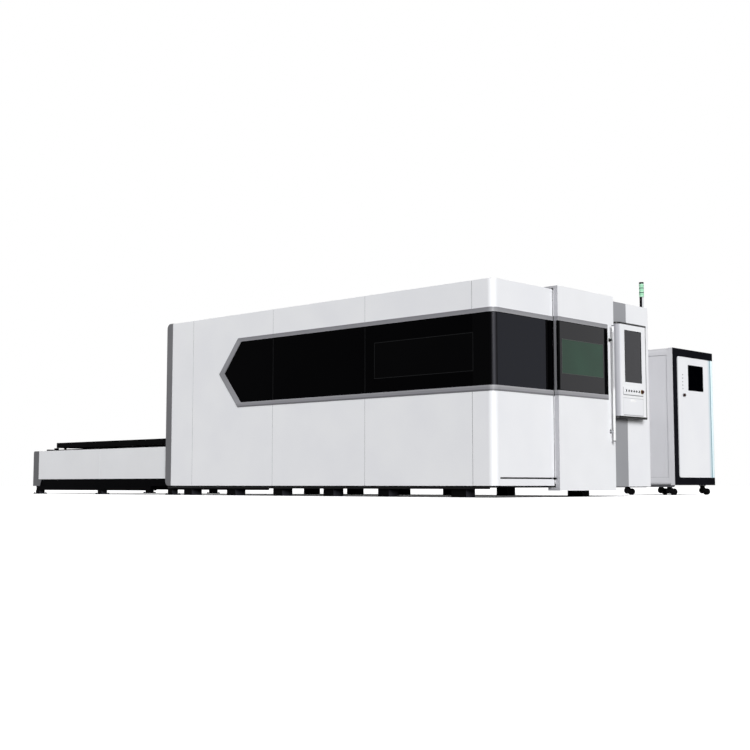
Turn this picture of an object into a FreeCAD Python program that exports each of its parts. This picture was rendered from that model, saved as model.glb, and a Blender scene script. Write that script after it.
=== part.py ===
import FreeCAD, Part
import math
import os

from FreeCAD import Vector

# Sheet-laser cutting machine with a closed housing, an exchange table and a laser source cabinet.
# Millimetres. While it is drawn, X runs along the long side and is 0 on the end wall with the
# door, Y runs into the machine and is 0 on the long side with the window band, Z is the height
# above the floor. At the end everything moves so that the origin is the centre of the footprint.

# ---------------------------------------------------------------- driving dimensions
# housing
HOUSING_LENGTH = 5318.0
HOUSING_WIDTH = 2974.0
HOUSING_HEIGHT = 2200.0
SKIRT_HEIGHT = 118.0
PANEL_DEPTH = 40.0
SHEET = 3.0
SEAM = 5.0
CORNER_RADIUS = 70.0
FRAME_TUBE = 60.0
BASE_HEIGHT = 98.0
NARROW_BAY = 426.0
CORNER_SIDE = 275.0
WIDE_BAY_COUNT = 3
ROOF_PANEL_COUNT = 4
REAR_PANEL_COUNT = 4

# grey ring round the table end
TRIM_WIDTH = 112.0
TRIM_WALL = 46.0
TRIM_PROUD = 5.0
TRIM_ROUNDING = 65.0
PORTAL_WALL_SETBACK = 14.0
PORTAL_SILL = 225.0
PORTAL_HEAD = 1060.0

# window band
BAND_FROM_TOP = 293.0
BAND_HEIGHT = 842.0
BAND_FRAME_TOP = 46.0
BAND_FRAME_BOTTOM = 56.0
BAND_FRAME_PROUD = 6.0
BAND_FRAME_DEPTH = 34.0
BAND_TIP_INSET = 521.0
BAND_SHOULDER = 351.0
BAND_TIP_FRAME = 94.0
GLASS_SETBACK = 4.0
GLASS_THICKNESS = 8.0

# sliding door in the end wall
DOOR_LEFT = 1026.0
DOOR_WIDTH = 1084.0
DOOR_GAP = 12.0
DOOR_THICKNESS = 54.0
DOOR_SHEET = 3.0
DOOR_RISE = 35.0
DOOR_FLANGE_THICKNESS = 22.0
DOOR_FLANGE_REACH = 110.0
DOOR_LOW_FLANGE_THICKNESS = 30.0
DOOR_LOW_FLANGE_REACH = 85.0
DOOR_BOTTOM = 67.0
DOOR_TRAVEL = 900.0
DOOR_GLASS_WIDTH = 960.0
DOOR_WINDOW_INSET = 76.0
DOOR_WINDOW_WIDTH = 784.0
DOOR_WINDOW_RISE = 188.0
DOOR_WINDOW_HEIGHT = 357.0
DOOR_WINDOW_PROUD = 2.0
DOOR_SHOE = 60.0
DOOR_SHOE_GAP = 1.0
TRACK_HEIGHT = 9.0
TRACK_WIDTH = 36.0
TRACK_SETBACK = 52.0
SLOT_HEIGHT = 16.0
SLOT_CENTRE_HEIGHT = 195.0
GUIDE_THICKNESS = 10.0
GUIDE_LENGTH = 34.0
GUIDE_REACH = 12.0
HANDLE_FROM_EDGE = 95.0
HANDLE_BOTTOM = 600.0
HANDLE_LENGTH = 1300.0
HANDLE_WIDTH = 32.0
HANDLE_DEPTH = 20.0
HANDLE_STANDOFF = 42.0
HANDLE_POST_RADIUS = 9.0
HANDLE_POST_LOW_INSET = 116.0
HANDLE_POST_TOP_INSET = 164.0

# end wall beside the door
GREY_PANEL_WIDTH = 370.0
END_PANEL_BOTTOM = 108.0

# bed, rails and gantry
BED_BEAM_WIDTH = 140.0
BED_BEAM_HEIGHT = 220.0
BED_BEAM_TOP = 860.0
BED_SILL_HEIGHT = 160.0
BED_SIDE_GAP = 10.0
BED_LEFT_GAP = 10.0
BED_RIGHT_GAP = 130.0
RAIL_WIDTH = 30.0
RAIL_HEIGHT = 30.0
RAIL_FIT = 0.5
GANTRY_REST_X = -1150.0
GANTRY_BEAM_WIDTH = 260.0
GANTRY_BEAM_HEIGHT = 300.0
GANTRY_WALL = 14.0
SADDLE_LENGTH = 500.0
SADDLE_HEIGHT = 90.0
SHOE_HEIGHT = 26.0
SHOE_LENGTH = 120.0
SHOE_WIDTH = 100.0
SHOE_END_INSET = 10.0
WAY_PROUD = 16.0
WAY_HEIGHT = 24.0
WAY_INSET = 50.0
CARRIAGE_REST_Y = 380.0
CARRIAGE_WIDTH = 300.0
CARRIAGE_PLATE = 30.0
CARRIAGE_GAP = 24.0
CARRIAGE_HEIGHT = 280.0
CARRIAGE_SHOE_WIDTH = 80.0
CARRIAGE_SHOE_HEIGHT = 60.0
CARRIAGE_SHOE_SPREAD = 180.0
CARRIAGE_AIR = 2.0
LIFT_WAY_WIDTH = 20.0
LIFT_WAY_DEPTH = 12.0
LIFT_WAY_GAP = 14.0
LIFT_MOTOR_RADIUS = 28.0
LIFT_MOTOR_LENGTH = 110.0
LIFT_MOTOR_REACH = 40.0
LIFT_SHELF_WIDTH = 90.0
LIFT_SHELF_THICKNESS = 20.0
HEAD_WIDTH = 90.0
HEAD_DEPTH = 84.0
HEAD_PLATE = 16.0
HEAD_PLATE_WING = 40.0
HEAD_PLATE_RISE = 20.0
HEAD_TOP_INSET = 12.0
HEAD_ROUNDING = 12.0
HEAD_AIR = 2.0
NOZZLE_TIP_Z = 1050.0
NOZZLE_LENGTH = 70.0
NOZZLE_TIP_RADIUS = 3.0
NOZZLE_ROOT_RADIUS = 20.0
NOZZLE_COLLAR_RADIUS = 26.0
NOZZLE_COLLAR_LENGTH = 30.0

# pallets
PALLET_WIDTH = 1600.0
PALLET_LENGTH = 3050.0
PALLET_BEAM = 60.0
PALLET_BEAM_HEIGHT = 75.0
PALLET_SIDE_GAP = 50.0
PALLET_LEVEL = 200.0
UPPER_RAIL_TOP = 645.0
PALLET_RAIL_HEIGHT = 45.0
PALLET_RAIL_WIDTH = 42.0
PALLET_RAIL_OVERRUN = 200.0
PALLET_INTO_PORTAL = 12.0
PALLET_PARK_X = -1700.0
PALLET_END_GAP = 64.0
SLAT_COUNT = 23
SLAT_THICKNESS = 5.0
SLAT_TIP_RISE = 5.0
SLAT_FOOT_RISE = 5.0
STRINGER_WIDTH = 12.0
STRINGER_COUNT = 2
SLAT_TOOTH_HEIGHT = 28.0
SLAT_TOOTH_COUNT = 15
WHEEL_RADIUS = 22.0
WHEEL_WIDTH = 22.0
WHEEL_COUNT = 4
WHEEL_END_INSET = 200.0
WHEEL_SIDE_INSET = 10.0
WHEEL_LIFT = 24.0
WHEEL_CLEARANCE = 0.3
RAIL_BRACKET = 50.0
RAIL_END_BLOCK = 60.0
RAIL_END_BLOCK_HEIGHT = 23.0

# exchange table
TABLE_SETBACK = 50.0
TABLE_PANEL_DEPTH = 30.0
TABLE_PANEL_BOTTOM = 210.0
TABLE_PANEL_TOP = 620.0
TABLE_TOP_BEAM = 80.0
TABLE_SILL_BOTTOM = 54.0
TABLE_SILL_STEP_BOTTOM = 113.0
TABLE_SILL_SETBACK = 10.0
TABLE_SILL_OVERRUN = 70.0
TABLE_STEP_LENGTH = 396.0
TABLE_POST = 100.0
END_CAP_DEPTH = 146.0
END_CAP_BOTTOM = 113.0
END_CAP_ROUNDING = 30.0
END_LIP_TOP_REACH = 75.0
END_LIP_BOTTOM_REACH = 35.0
DRIVE_SHAFT_RADIUS = 20.0
DRIVE_SHAFT_Z = 300.0
SPROCKET_RADIUS = 60.0
SPROCKET_TEETH = 12
SPROCKET_TOOTH = 9.0
SPROCKET_WIDTH = 14.0
SPROCKET_TOOTH_FOOT = 16.0
SPROCKET_TOOTH_TIP = 6.0
SPROCKET_ROOT_OVERLAP = 4.0
SPROCKET_END_INSET = 30.0
BEARING_HALF = 45.0
BEARING_WIDTH = 30.0
BEARING_SHAFT_GAP = 4.0
GEARBOX_WIDTH = 140.0
GEARBOX_HEIGHT = 120.0
GEARBOX_FRONT = 55.0
MOTOR_RADIUS = 62.0
MOTOR_LENGTH = 230.0
MOTOR_STAND_WIDTH = 120.0
MOTOR_STAND_THICKNESS = 20.0
BEARING_FIT = 0.08

# feet
FOOT_SIZE = 160.0
FOOT_FIRST = 321.0
FOOT_LAST_X = -1465.0
FOOT_COUNT = 5
FOOT_SETBACK = 50.0
CORNER_FOOT_X = -602.0
CORNER_FOOT_LENGTH = 198.0
CORNER_FOOT_DEPTH = 146.0
REAR_FOOT_SIZE = 110.0
REAR_FOOT_SHARES = (0.001, 0.195, 0.438, 0.6, 0.809)
TABLE_FOOT_PLATE = 140.0
TABLE_FOOT_POST = 92.0
TABLE_FOOT_PLATE_THICKNESS = 12.0
FOOT_BOLT_RADIUS = 7.0
FOOT_BOLT_SPACING = 115.0

# operator console
CONSOLE_WIDTH = 620.0
CONSOLE_DOOR_GAP = 15.0
CONSOLE_DEPTH = 110.0
CONSOLE_BOTTOM = 890.0
CONSOLE_TOP = 1940.0
CONSOLE_CAP = 16.0
CONSOLE_CAP_INSET = 8.0
CONSOLE_LEFT_ROUNDING = 80.0
CONSOLE_RIGHT_ROUNDING = 22.0
SCREEN_FROM_LEFT = 137.0
SCREEN_WIDTH = 358.0
SCREEN_BOTTOM = 1281.0
SCREEN_HEIGHT = 591.0
SCREEN_POCKET = 12.0
SCREEN_THICKNESS = 9.0
BUTTON_COUNT = 6
BUTTON_FIRST = 152.0
BUTTON_PITCH = 53.5
BUTTON_Z = 1184.0
BUTTON_RADIUS = 11.0
BUTTON_PROUD = 12.0
BUTTON_STEM = 14.0
BUTTON_TRAVEL = 4.0
BUTTON_CLEARANCE = 0.4
STOP_FROM_LEFT = 485.0
STOP_RADIUS = 20.0
STOP_HEAD = 14.0
STOP_GAP = 12.0
CONTROL_PLATE_BOTTOM = 1142.0
CONTROL_PLATE_HEIGHT = 84.0
CONTROL_PLATE_PROUD = 5.0
CONTROL_PLATE_ROUNDING = 8.0
FLAP_FROM_LEFT = 93.0
FLAP_WIDTH = 425.0
FLAP_BOTTOM = 914.0
FLAP_HEIGHT = 188.0
FLAP_THICKNESS = 10.0
FLAP_GAP = 2.0
KEYBOARD_THICKNESS = 20.0
KEYBOARD_MARGIN = 24.0
RECESS_DEPTH = 78.0
GRIP_WIDTH = 100.0
GRIP_HEIGHT = 20.0
GRIP_FROM_TOP = 16.0
GRIP_DEPTH = 6.0

# signal tower
TOWER_FROM_END = 45.0
TOWER_FROM_REAR = 64.0
TOWER_BASE_HEIGHT = 133.0
TOWER_BASE_RADIUS = 25.0
LENS_RADIUS = 27.5
LENS_HEIGHT = 47.5
LENS_COUNT = 3
LENS_RING = 6.0
LENS_CORE_RADIUS = 20.0
TOWER_CAP = 14.0

# fume outlet
FUME_RADIUS = 125.0
FUME_COLLAR = 80.0
FUME_Z = 640.0
FUME_PANEL = 1

# laser source cabinet
CABINET_FRONT_X = -300.0
CABINET_LEFT = 4047.0
CABINET_WIDTH = 1033.0
CABINET_DEPTH = 800.0
CABINET_BOTTOM = 124.0
CABINET_TOP = 1850.0
CABINET_TOP_ROUNDING = 50.0
CABINET_BOTTOM_ROUNDING = 36.0
CABINET_FRAME_DEPTH = 60.0
CABINET_FRAME_LEFT = 110.0
CABINET_FRAME_TOP = 98.0
CABINET_FRAME_BOTTOM = 97.0
CABINET_FRAME_RADIUS = 42.0
CABINET_DOOR_SETBACK = 4.0
CABINET_DOOR_THICKNESS = 14.0
CABINET_SIDE_MARGIN = 88.0
CABINET_SIDE_RECESS = 8.0
CABINET_SIDE_FRONT = 85.0
DISPLAY_FROM_LEFT = 393.0
DISPLAY_WIDTH = 390.0
DISPLAY_BOTTOM = 1328.0
DISPLAY_HEIGHT = 329.0
DISPLAY_POCKET = 10.0
DISPLAY_THICKNESS = 7.0
CABINET_STOP_FROM_LEFT = 272.0
CABINET_STOP_Z = 1264.0

# casters of the cabinet
CASTER_SIDE_INSET = 95.0
CASTER_FRONT_INSET = 73.0
CASTER_REAR_INSET = 59.0
CASTER_WHEEL_RADIUS = 42.0
CASTER_WHEEL_WIDTH = 44.0
CASTER_TREAD_BEVEL = 4.0
CASTER_TRAIL = 58.0
CASTER_AXLE_RADIUS = 6.0
CASTER_FIT = 0.08
CASTER_FORK_WALL = 6.0
CASTER_FORK_GAP = 2.0
CASTER_HOOD_RADIUS = 35.0
CASTER_HOOD_Z = 66.0
CASTER_BOSS_RADIUS = 13.0
CASTER_NECK_RADIUS = 20.0
CASTER_STEM_RADIUS = 10.0
CASTER_STEM_LENGTH = 30.0
CASTER_SWIVEL_GAP = 0.5
CASTER_HEAD_THICKNESS = 8.0
CASTER_HEAD_RADIUS = 36.0

# ---------------------------------------------------------------- derived places
LEFT_END = -HOUSING_LENGTH
TRIM_EDGE = LEFT_END + TRIM_WIDTH
BAY_1 = TRIM_EDGE + NARROW_BAY
WIDE_BAY = (-CORNER_SIDE - BAY_1) / WIDE_BAY_COUNT
BAY_2 = BAY_1 + WIDE_BAY
BAY_3 = BAY_2 + WIDE_BAY
BAY_4 = BAY_3 + WIDE_BAY
DOOR_RIGHT = DOOR_LEFT + DOOR_WIDTH
GREY_RIGHT = DOOR_RIGHT + GREY_PANEL_WIDTH
DOOR_BACK_X = DOOR_GAP
DOOR_FACE_X = DOOR_GAP + DOOR_THICKNESS
DOOR_TOP = HOUSING_HEIGHT + DOOR_RISE
ROOF_TOP = HOUSING_HEIGHT - SHEET
FRAME_TOP = HOUSING_HEIGHT - PANEL_DEPTH
FRAME_REAR = HOUSING_WIDTH - PANEL_DEPTH
BAND_TOP = HOUSING_HEIGHT - BAND_FROM_TOP
BAND_BOTTOM = BAND_TOP - BAND_HEIGHT
BAND_TIP_X = BAY_1 + BAND_TIP_INSET
GLASS_BOTTOM = BAND_BOTTOM + BAND_FRAME_BOTTOM
GLASS_TOP = BAND_TOP - BAND_FRAME_TOP
BED_NEAR = PANEL_DEPTH + FRAME_TUBE + BED_SIDE_GAP
PALLET_NEAR = BED_NEAR + BED_BEAM_WIDTH + PALLET_SIDE_GAP
CENTRE_Y = PALLET_NEAR + PALLET_WIDTH / 2.0
PALLET_FAR = PALLET_NEAR + PALLET_WIDTH
BED_FAR = PALLET_FAR + PALLET_SIDE_GAP
BED_LEFT = TRIM_EDGE + FRAME_TUBE + BED_LEFT_GAP
BED_RIGHT = -BED_RIGHT_GAP
FAR_FOOT_Y = BED_FAR + BED_BEAM_WIDTH + FOOT_SETBACK
UPPER_PALLET_RIGHT = LEFT_END + PALLET_INTO_PORTAL
UPPER_PALLET_LEFT = UPPER_PALLET_RIGHT - PALLET_LENGTH
LOWER_PALLET_LEFT = PALLET_PARK_X - PALLET_LENGTH
PALLET_TRAVEL = LOWER_PALLET_LEFT - UPPER_PALLET_LEFT
TABLE_LEFT = UPPER_PALLET_LEFT - PALLET_END_GAP - END_CAP_DEPTH
TABLE_PANEL_LEFT = TABLE_LEFT + END_CAP_DEPTH
TABLE_NEAR = TABLE_SETBACK
TABLE_FAR = 2.0 * CENTRE_Y - TABLE_SETBACK
CONSOLE_LEFT = DOOR_RIGHT + CONSOLE_DOOR_GAP
CONSOLE_RIGHT = CONSOLE_LEFT + CONSOLE_WIDTH
RAIL_TOP = BED_BEAM_TOP + RAIL_HEIGHT
SADDLE_BOTTOM = RAIL_TOP + RAIL_FIT
BEAM_BOTTOM = SADDLE_BOTTOM + SADDLE_HEIGHT
CABINET_RIGHT = CABINET_LEFT + CABINET_WIDTH
CABINET_REAR_X = CABINET_FRONT_X - CABINET_DEPTH

nodes = {}


# ---------------------------------------------------------------- helpers
def block(x0, x1, y0, y1, z0, z1):
    return Part.makeBox(x1 - x0, y1 - y0, z1 - z0, Vector(x0, y0, z0))


def rod(radius, length, base, direction):
    return Part.makeCylinder(radius, length, Vector(*base), Vector(*direction))


def mirrored_y(shape):
    """The same piece on the far side of the pallet track."""
    return shape.mirror(Vector(0, CENTRE_Y, 0), Vector(0, 1, 0))


def group(shapes):
    return Part.makeCompound(shapes)


def polygon_prism(points, sweep):
    wire = Part.makePolygon([Vector(*p) for p in points + points[:1]])
    return Part.Face(wire).extrude(Vector(*sweep))


def edges_along(shape, axis, test):
    """Straight edges that run along one axis and whose middle passes the test."""
    found = []
    for edge in shape.Edges:
        if len(edge.Vertexes) != 2:
            continue
        run = edge.Vertexes[1].Point - edge.Vertexes[0].Point
        if abs(abs(run.normalize().dot(axis)) - 1.0) > 1e-6:
            continue
        if test(edge.CenterOfMass):
            found.append(edge)
    return found


def round_edges(shape):
    """The circles at the two ends of a turned piece."""
    return [edge for edge in shape.Edges if edge.Curve.TypeId == "Part::GeomCircle"]


def folded_pan(x0, x1, y0, y1, z0, z1, face):
    """A sheet-metal pan: one face and four returns, open at the back."""
    pan = block(x0, x1, y0, y1, z0, z1)
    grow = {"-y": (0, 1), "+y": (1, 0), "+x": (1, 0), "-x": (0, 1), "+z": (1, 0)}[face]
    axis = "xyz".index(face[1])
    low = [x0 + SHEET, y0 + SHEET, z0 + SHEET]
    high = [x1 - SHEET, y1 - SHEET, z1 - SHEET]
    low[axis] -= 2.0 * SHEET * grow[0]
    high[axis] += 2.0 * SHEET * grow[1]
    return pan.cut(block(low[0], high[0], low[1], high[1], low[2], high[2]))


def corner_band(outer, inner, x_start, y_end, z0, z1):
    """Wall along the long side, round the corner and along the end wall, between two depths."""
    radius = CORNER_RADIUS

    def arc(depth):
        reach = radius - depth
        middle = Vector(-radius + reach * math.sqrt(0.5), radius - reach * math.sqrt(0.5), z0)
        return Part.Arc(Vector(-radius, depth, z0), middle, Vector(-depth, radius, z0)).toShape()

    def line(a, b):
        return Part.makeLine(Vector(a[0], a[1], z0), Vector(b[0], b[1], z0))

    edges = [
        line((x_start, outer), (-radius, outer)),
        arc(outer),
        line((-outer, radius), (-outer, y_end)),
        line((-outer, y_end), (-inner, y_end)),
        line((-inner, y_end), (-inner, radius)),
        arc(inner),
        line((-radius, inner), (x_start, inner)),
        line((x_start, inner), (x_start, outer)),
    ]
    face = Part.Face(Part.Wire(Part.__sortEdges__(edges)))
    return face.extrude(Vector(0, 0, z1 - z0))


def corner_panel(z0, z1):
    """One sheet rolled round the corner, with a return on each edge."""
    x_start = BAY_4 + SEAM / 2.0
    y_end = DOOR_LEFT - SEAM
    panel = corner_band(0.0, PANEL_DEPTH, x_start, y_end, z0, z1)
    hollow = corner_band(SHEET, PANEL_DEPTH + SHEET, x_start + SHEET, y_end - SHEET, z0 + SHEET, z1 - SHEET)
    return panel.cut(hollow)


def arrow_prism(tip_x, shoulder_x, z0, z1):
    """Prism through the whole end of the housing with the arrow outline of the window band."""
    tip_z = (BAND_TOP + BAND_BOTTOM) / 2.0
    start = -2.0 * PANEL_DEPTH
    points = [
        (tip_x, start, tip_z),
        (shoulder_x, start, z1),
        (PANEL_DEPTH, start, z1),
        (PANEL_DEPTH, start, z0),
        (shoulder_x, start, z0),
    ]
    return polygon_prism(points, (0, DOOR_LEFT - start, 0))


def outer_arrow():
    return arrow_prism(BAND_TIP_X, BAND_TIP_X + BAND_SHOULDER, BAND_BOTTOM, BAND_TOP)


def inner_arrow():
    tip = BAND_TIP_X + BAND_TIP_FRAME
    slope = BAND_SHOULDER / (BAND_TOP - BAND_BOTTOM)
    return arrow_prism(tip, tip + slope * (GLASS_TOP - GLASS_BOTTOM), GLASS_BOTTOM, GLASS_TOP)


# ---------------------------------------------------------------- housing
def make_housing_frame():
    tube = FRAME_TUBE
    near = (PANEL_DEPTH, PANEL_DEPTH + tube)
    far = (FRAME_REAR - tube, FRAME_REAR)
    right = (-PANEL_DEPTH - tube, -PANEL_DEPTH)
    left = (TRIM_EDGE, TRIM_EDGE + tube)
    tubes = []
    for z0 in (BASE_HEIGHT, FRAME_TOP - tube):
        z1 = z0 + tube
        tubes.append(block(left[0], -CORNER_RADIUS, near[0], near[1], z0, z1))
        tubes.append(block(left[0], right[1], far[0], far[1], z0, z1))
        tubes.append(block(left[0], left[1], near[1], far[0], z0, z1))
        tubes.append(block(right[0], right[1], near[1], far[0], z0, z1))
    post_bottom = BASE_HEIGHT + tube
    post_top = FRAME_TOP - tube
    spots = [(left[0], near[0]), (left[0], far[0]), (right[0], far[0])]
    spots.append((-CORNER_RADIUS - tube, near[0]))
    for bay in (BAY_2, BAY_3):
        spots.append((bay - tube / 2.0, near[0]))
        spots.append((bay - tube / 2.0, far[0]))
    spots.append((right[0], DOOR_LEFT - SEAM - tube))
    spots.append((right[0], DOOR_RIGHT + SEAM))
    for x, y in spots:
        tubes.append(block(x, x + tube, y, y + tube, post_bottom, post_top))
    for bay in (BAY_2, BAY_3):
        tubes.append(block(bay - tube / 2.0, bay + tube / 2.0, near[1], far[0], post_top, FRAME_TOP))
    nodes["housing_frame"] = group(tubes)


def make_portal():
    outer = block(LEFT_END, TRIM_EDGE, -TRIM_PROUD, HOUSING_WIDTH + TRIM_PROUD,
                  SKIRT_HEIGHT, HOUSING_HEIGHT + TRIM_PROUD)
    corners = edges_along(outer, Vector(0, 1, 0), lambda c: c.x < LEFT_END + 1.0)
    outer = outer.makeFillet(TRIM_ROUNDING, corners)
    inner_y0 = -TRIM_PROUD + TRIM_WALL
    inner_y1 = HOUSING_WIDTH + TRIM_PROUD - TRIM_WALL
    inner_z0 = SKIRT_HEIGHT + TRIM_WALL
    inner_z1 = HOUSING_HEIGHT + TRIM_PROUD - TRIM_WALL
    through = block(LEFT_END - 1.0, TRIM_EDGE + 1.0, inner_y0, inner_y1, inner_z0, inner_z1)
    nodes["portal_trim"] = outer.cut(through)

    wall_x = LEFT_END + PORTAL_WALL_SETBACK
    wall = folded_pan(wall_x, wall_x + PANEL_DEPTH, inner_y0, inner_y1, inner_z0, inner_z1, "-x")
    margin = BED_BEAM_WIDTH / 2.0
    gate = block(wall_x - 1.0, wall_x + PANEL_DEPTH + 1.0, BED_NEAR + margin, BED_FAR + margin,
                 PORTAL_SILL, PORTAL_HEAD)
    lining = block(wall_x, wall_x + PANEL_DEPTH, BED_NEAR + margin - SHEET, BED_FAR + margin + SHEET,
                   PORTAL_SILL - SHEET, PORTAL_HEAD + SHEET)
    nodes["portal_wall"] = wall.fuse(lining).cut(gate).removeSplitter()


def make_side_panels():
    top = HOUSING_HEIGHT
    half = SEAM / 2.0
    nodes["narrow_side_panel"] = folded_pan(TRIM_EDGE, BAY_1 - half, 0.0, PANEL_DEPTH,
                                            SKIRT_HEIGHT, top, "-y")
    arrow = folded_pan(BAY_1 + half, BAY_2 - half, 0.0, PANEL_DEPTH, SKIRT_HEIGHT, top, "-y")
    nodes["arrow_side_panel"] = arrow.cut(outer_arrow())
    upper = []
    lower = []
    for bay in (BAY_2, BAY_3):
        x0 = bay + half
        x1 = bay + WIDE_BAY - half
        upper.append(folded_pan(x0, x1, 0.0, PANEL_DEPTH, BAND_TOP, top, "-y"))
        lower.append(folded_pan(x0, x1, 0.0, PANEL_DEPTH, SKIRT_HEIGHT, BAND_BOTTOM, "-y"))
    nodes["upper_side_panels"] = group(upper)
    nodes["lower_side_panels"] = group(lower)
    nodes["upper_corner_panel"] = corner_panel(BAND_TOP, top)
    slot = block(-PANEL_DEPTH - 1.0, 1.0, DOOR_LEFT - DOOR_TRAVEL - GUIDE_LENGTH, DOOR_LEFT,
                 SLOT_CENTRE_HEIGHT - SLOT_HEIGHT / 2.0, SLOT_CENTRE_HEIGHT + SLOT_HEIGHT / 2.0)
    nodes["lower_corner_panel"] = corner_panel(SKIRT_HEIGHT, BAND_BOTTOM).cut(slot)


def make_window_band():
    band = corner_band(-BAND_FRAME_PROUD, BAND_FRAME_DEPTH, BAND_TIP_X - 1.0, DOOR_LEFT - SEAM,
                       BAND_BOTTOM, BAND_TOP)
    nodes["window_frame"] = band.common(outer_arrow()).cut(inner_arrow())
    back = GLASS_SETBACK + GLASS_THICKNESS
    half = SEAM / 4.0
    pane = block(BAND_TIP_X, BAY_2 - half, GLASS_SETBACK, back, GLASS_BOTTOM, GLASS_TOP)
    panes = [pane.common(inner_arrow())]
    for bay in (BAY_2, BAY_3):
        panes.append(block(bay + half, bay + WIDE_BAY - half, GLASS_SETBACK, back, GLASS_BOTTOM, GLASS_TOP))
    nodes["side_window_panes"] = group(panes)
    nodes["corner_window_pane"] = corner_band(GLASS_SETBACK, back, BAY_4 + half, DOOR_LEFT - SEAM,
                                              GLASS_BOTTOM, GLASS_TOP)


def make_roof_and_rear():
    x_end = -PANEL_DEPTH
    roof_pitch = (x_end - TRIM_EDGE) / ROOF_PANEL_COUNT
    roof = []
    for i in range(ROOF_PANEL_COUNT):
        x0 = TRIM_EDGE + i * roof_pitch
        roof.append(folded_pan(x0, x0 + roof_pitch - SEAM, PANEL_DEPTH, FRAME_REAR,
                               FRAME_TOP, ROOF_TOP, "+z"))
    nodes["roof_panels"] = group(roof)
    rear_pitch = (x_end - TRIM_EDGE) / REAR_PANEL_COUNT
    rear = []
    for i in range(REAR_PANEL_COUNT):
        x0 = TRIM_EDGE + i * rear_pitch
        pan = folded_pan(x0, x0 + rear_pitch - SEAM, FRAME_REAR, HOUSING_WIDTH,
                         SKIRT_HEIGHT, HOUSING_HEIGHT, "+y")
        if i == FUME_PANEL:
            centre = (x0 + rear_pitch / 2.0, FRAME_REAR, FUME_Z)
            reach = PANEL_DEPTH + FUME_COLLAR
            collar = rod(FUME_RADIUS + SHEET, reach, centre, (0, 1, 0))
            pan = pan.fuse(collar).cut(rod(FUME_RADIUS, reach, centre, (0, 1, 0)))
        rear.append(pan)
    nodes["rear_panels"] = group(rear)


def make_end_panels():
    half = SEAM / 2.0
    top = HOUSING_HEIGHT
    nodes["grey_end_panel"] = folded_pan(-PANEL_DEPTH, 0.0, DOOR_RIGHT + SEAM, GREY_RIGHT - half,
                                         END_PANEL_BOTTOM, top, "+x")
    white = block(-PANEL_DEPTH, 0.0, GREY_RIGHT + half, HOUSING_WIDTH, END_PANEL_BOTTOM, top)
    rear_edge = edges_along(white, Vector(0, 0, 1), lambda c: c.x > -1.0 and c.y > HOUSING_WIDTH - 1.0)
    white = white.makeFillet(CONSOLE_RIGHT_ROUNDING, rear_edge)
    hollow = block(-PANEL_DEPTH - 1.0, -SHEET, GREY_RIGHT + half + SHEET, HOUSING_WIDTH - CONSOLE_RIGHT_ROUNDING,
                   END_PANEL_BOTTOM + SHEET, top - SHEET)
    nodes["white_end_panel"] = white.cut(hollow)


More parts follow.
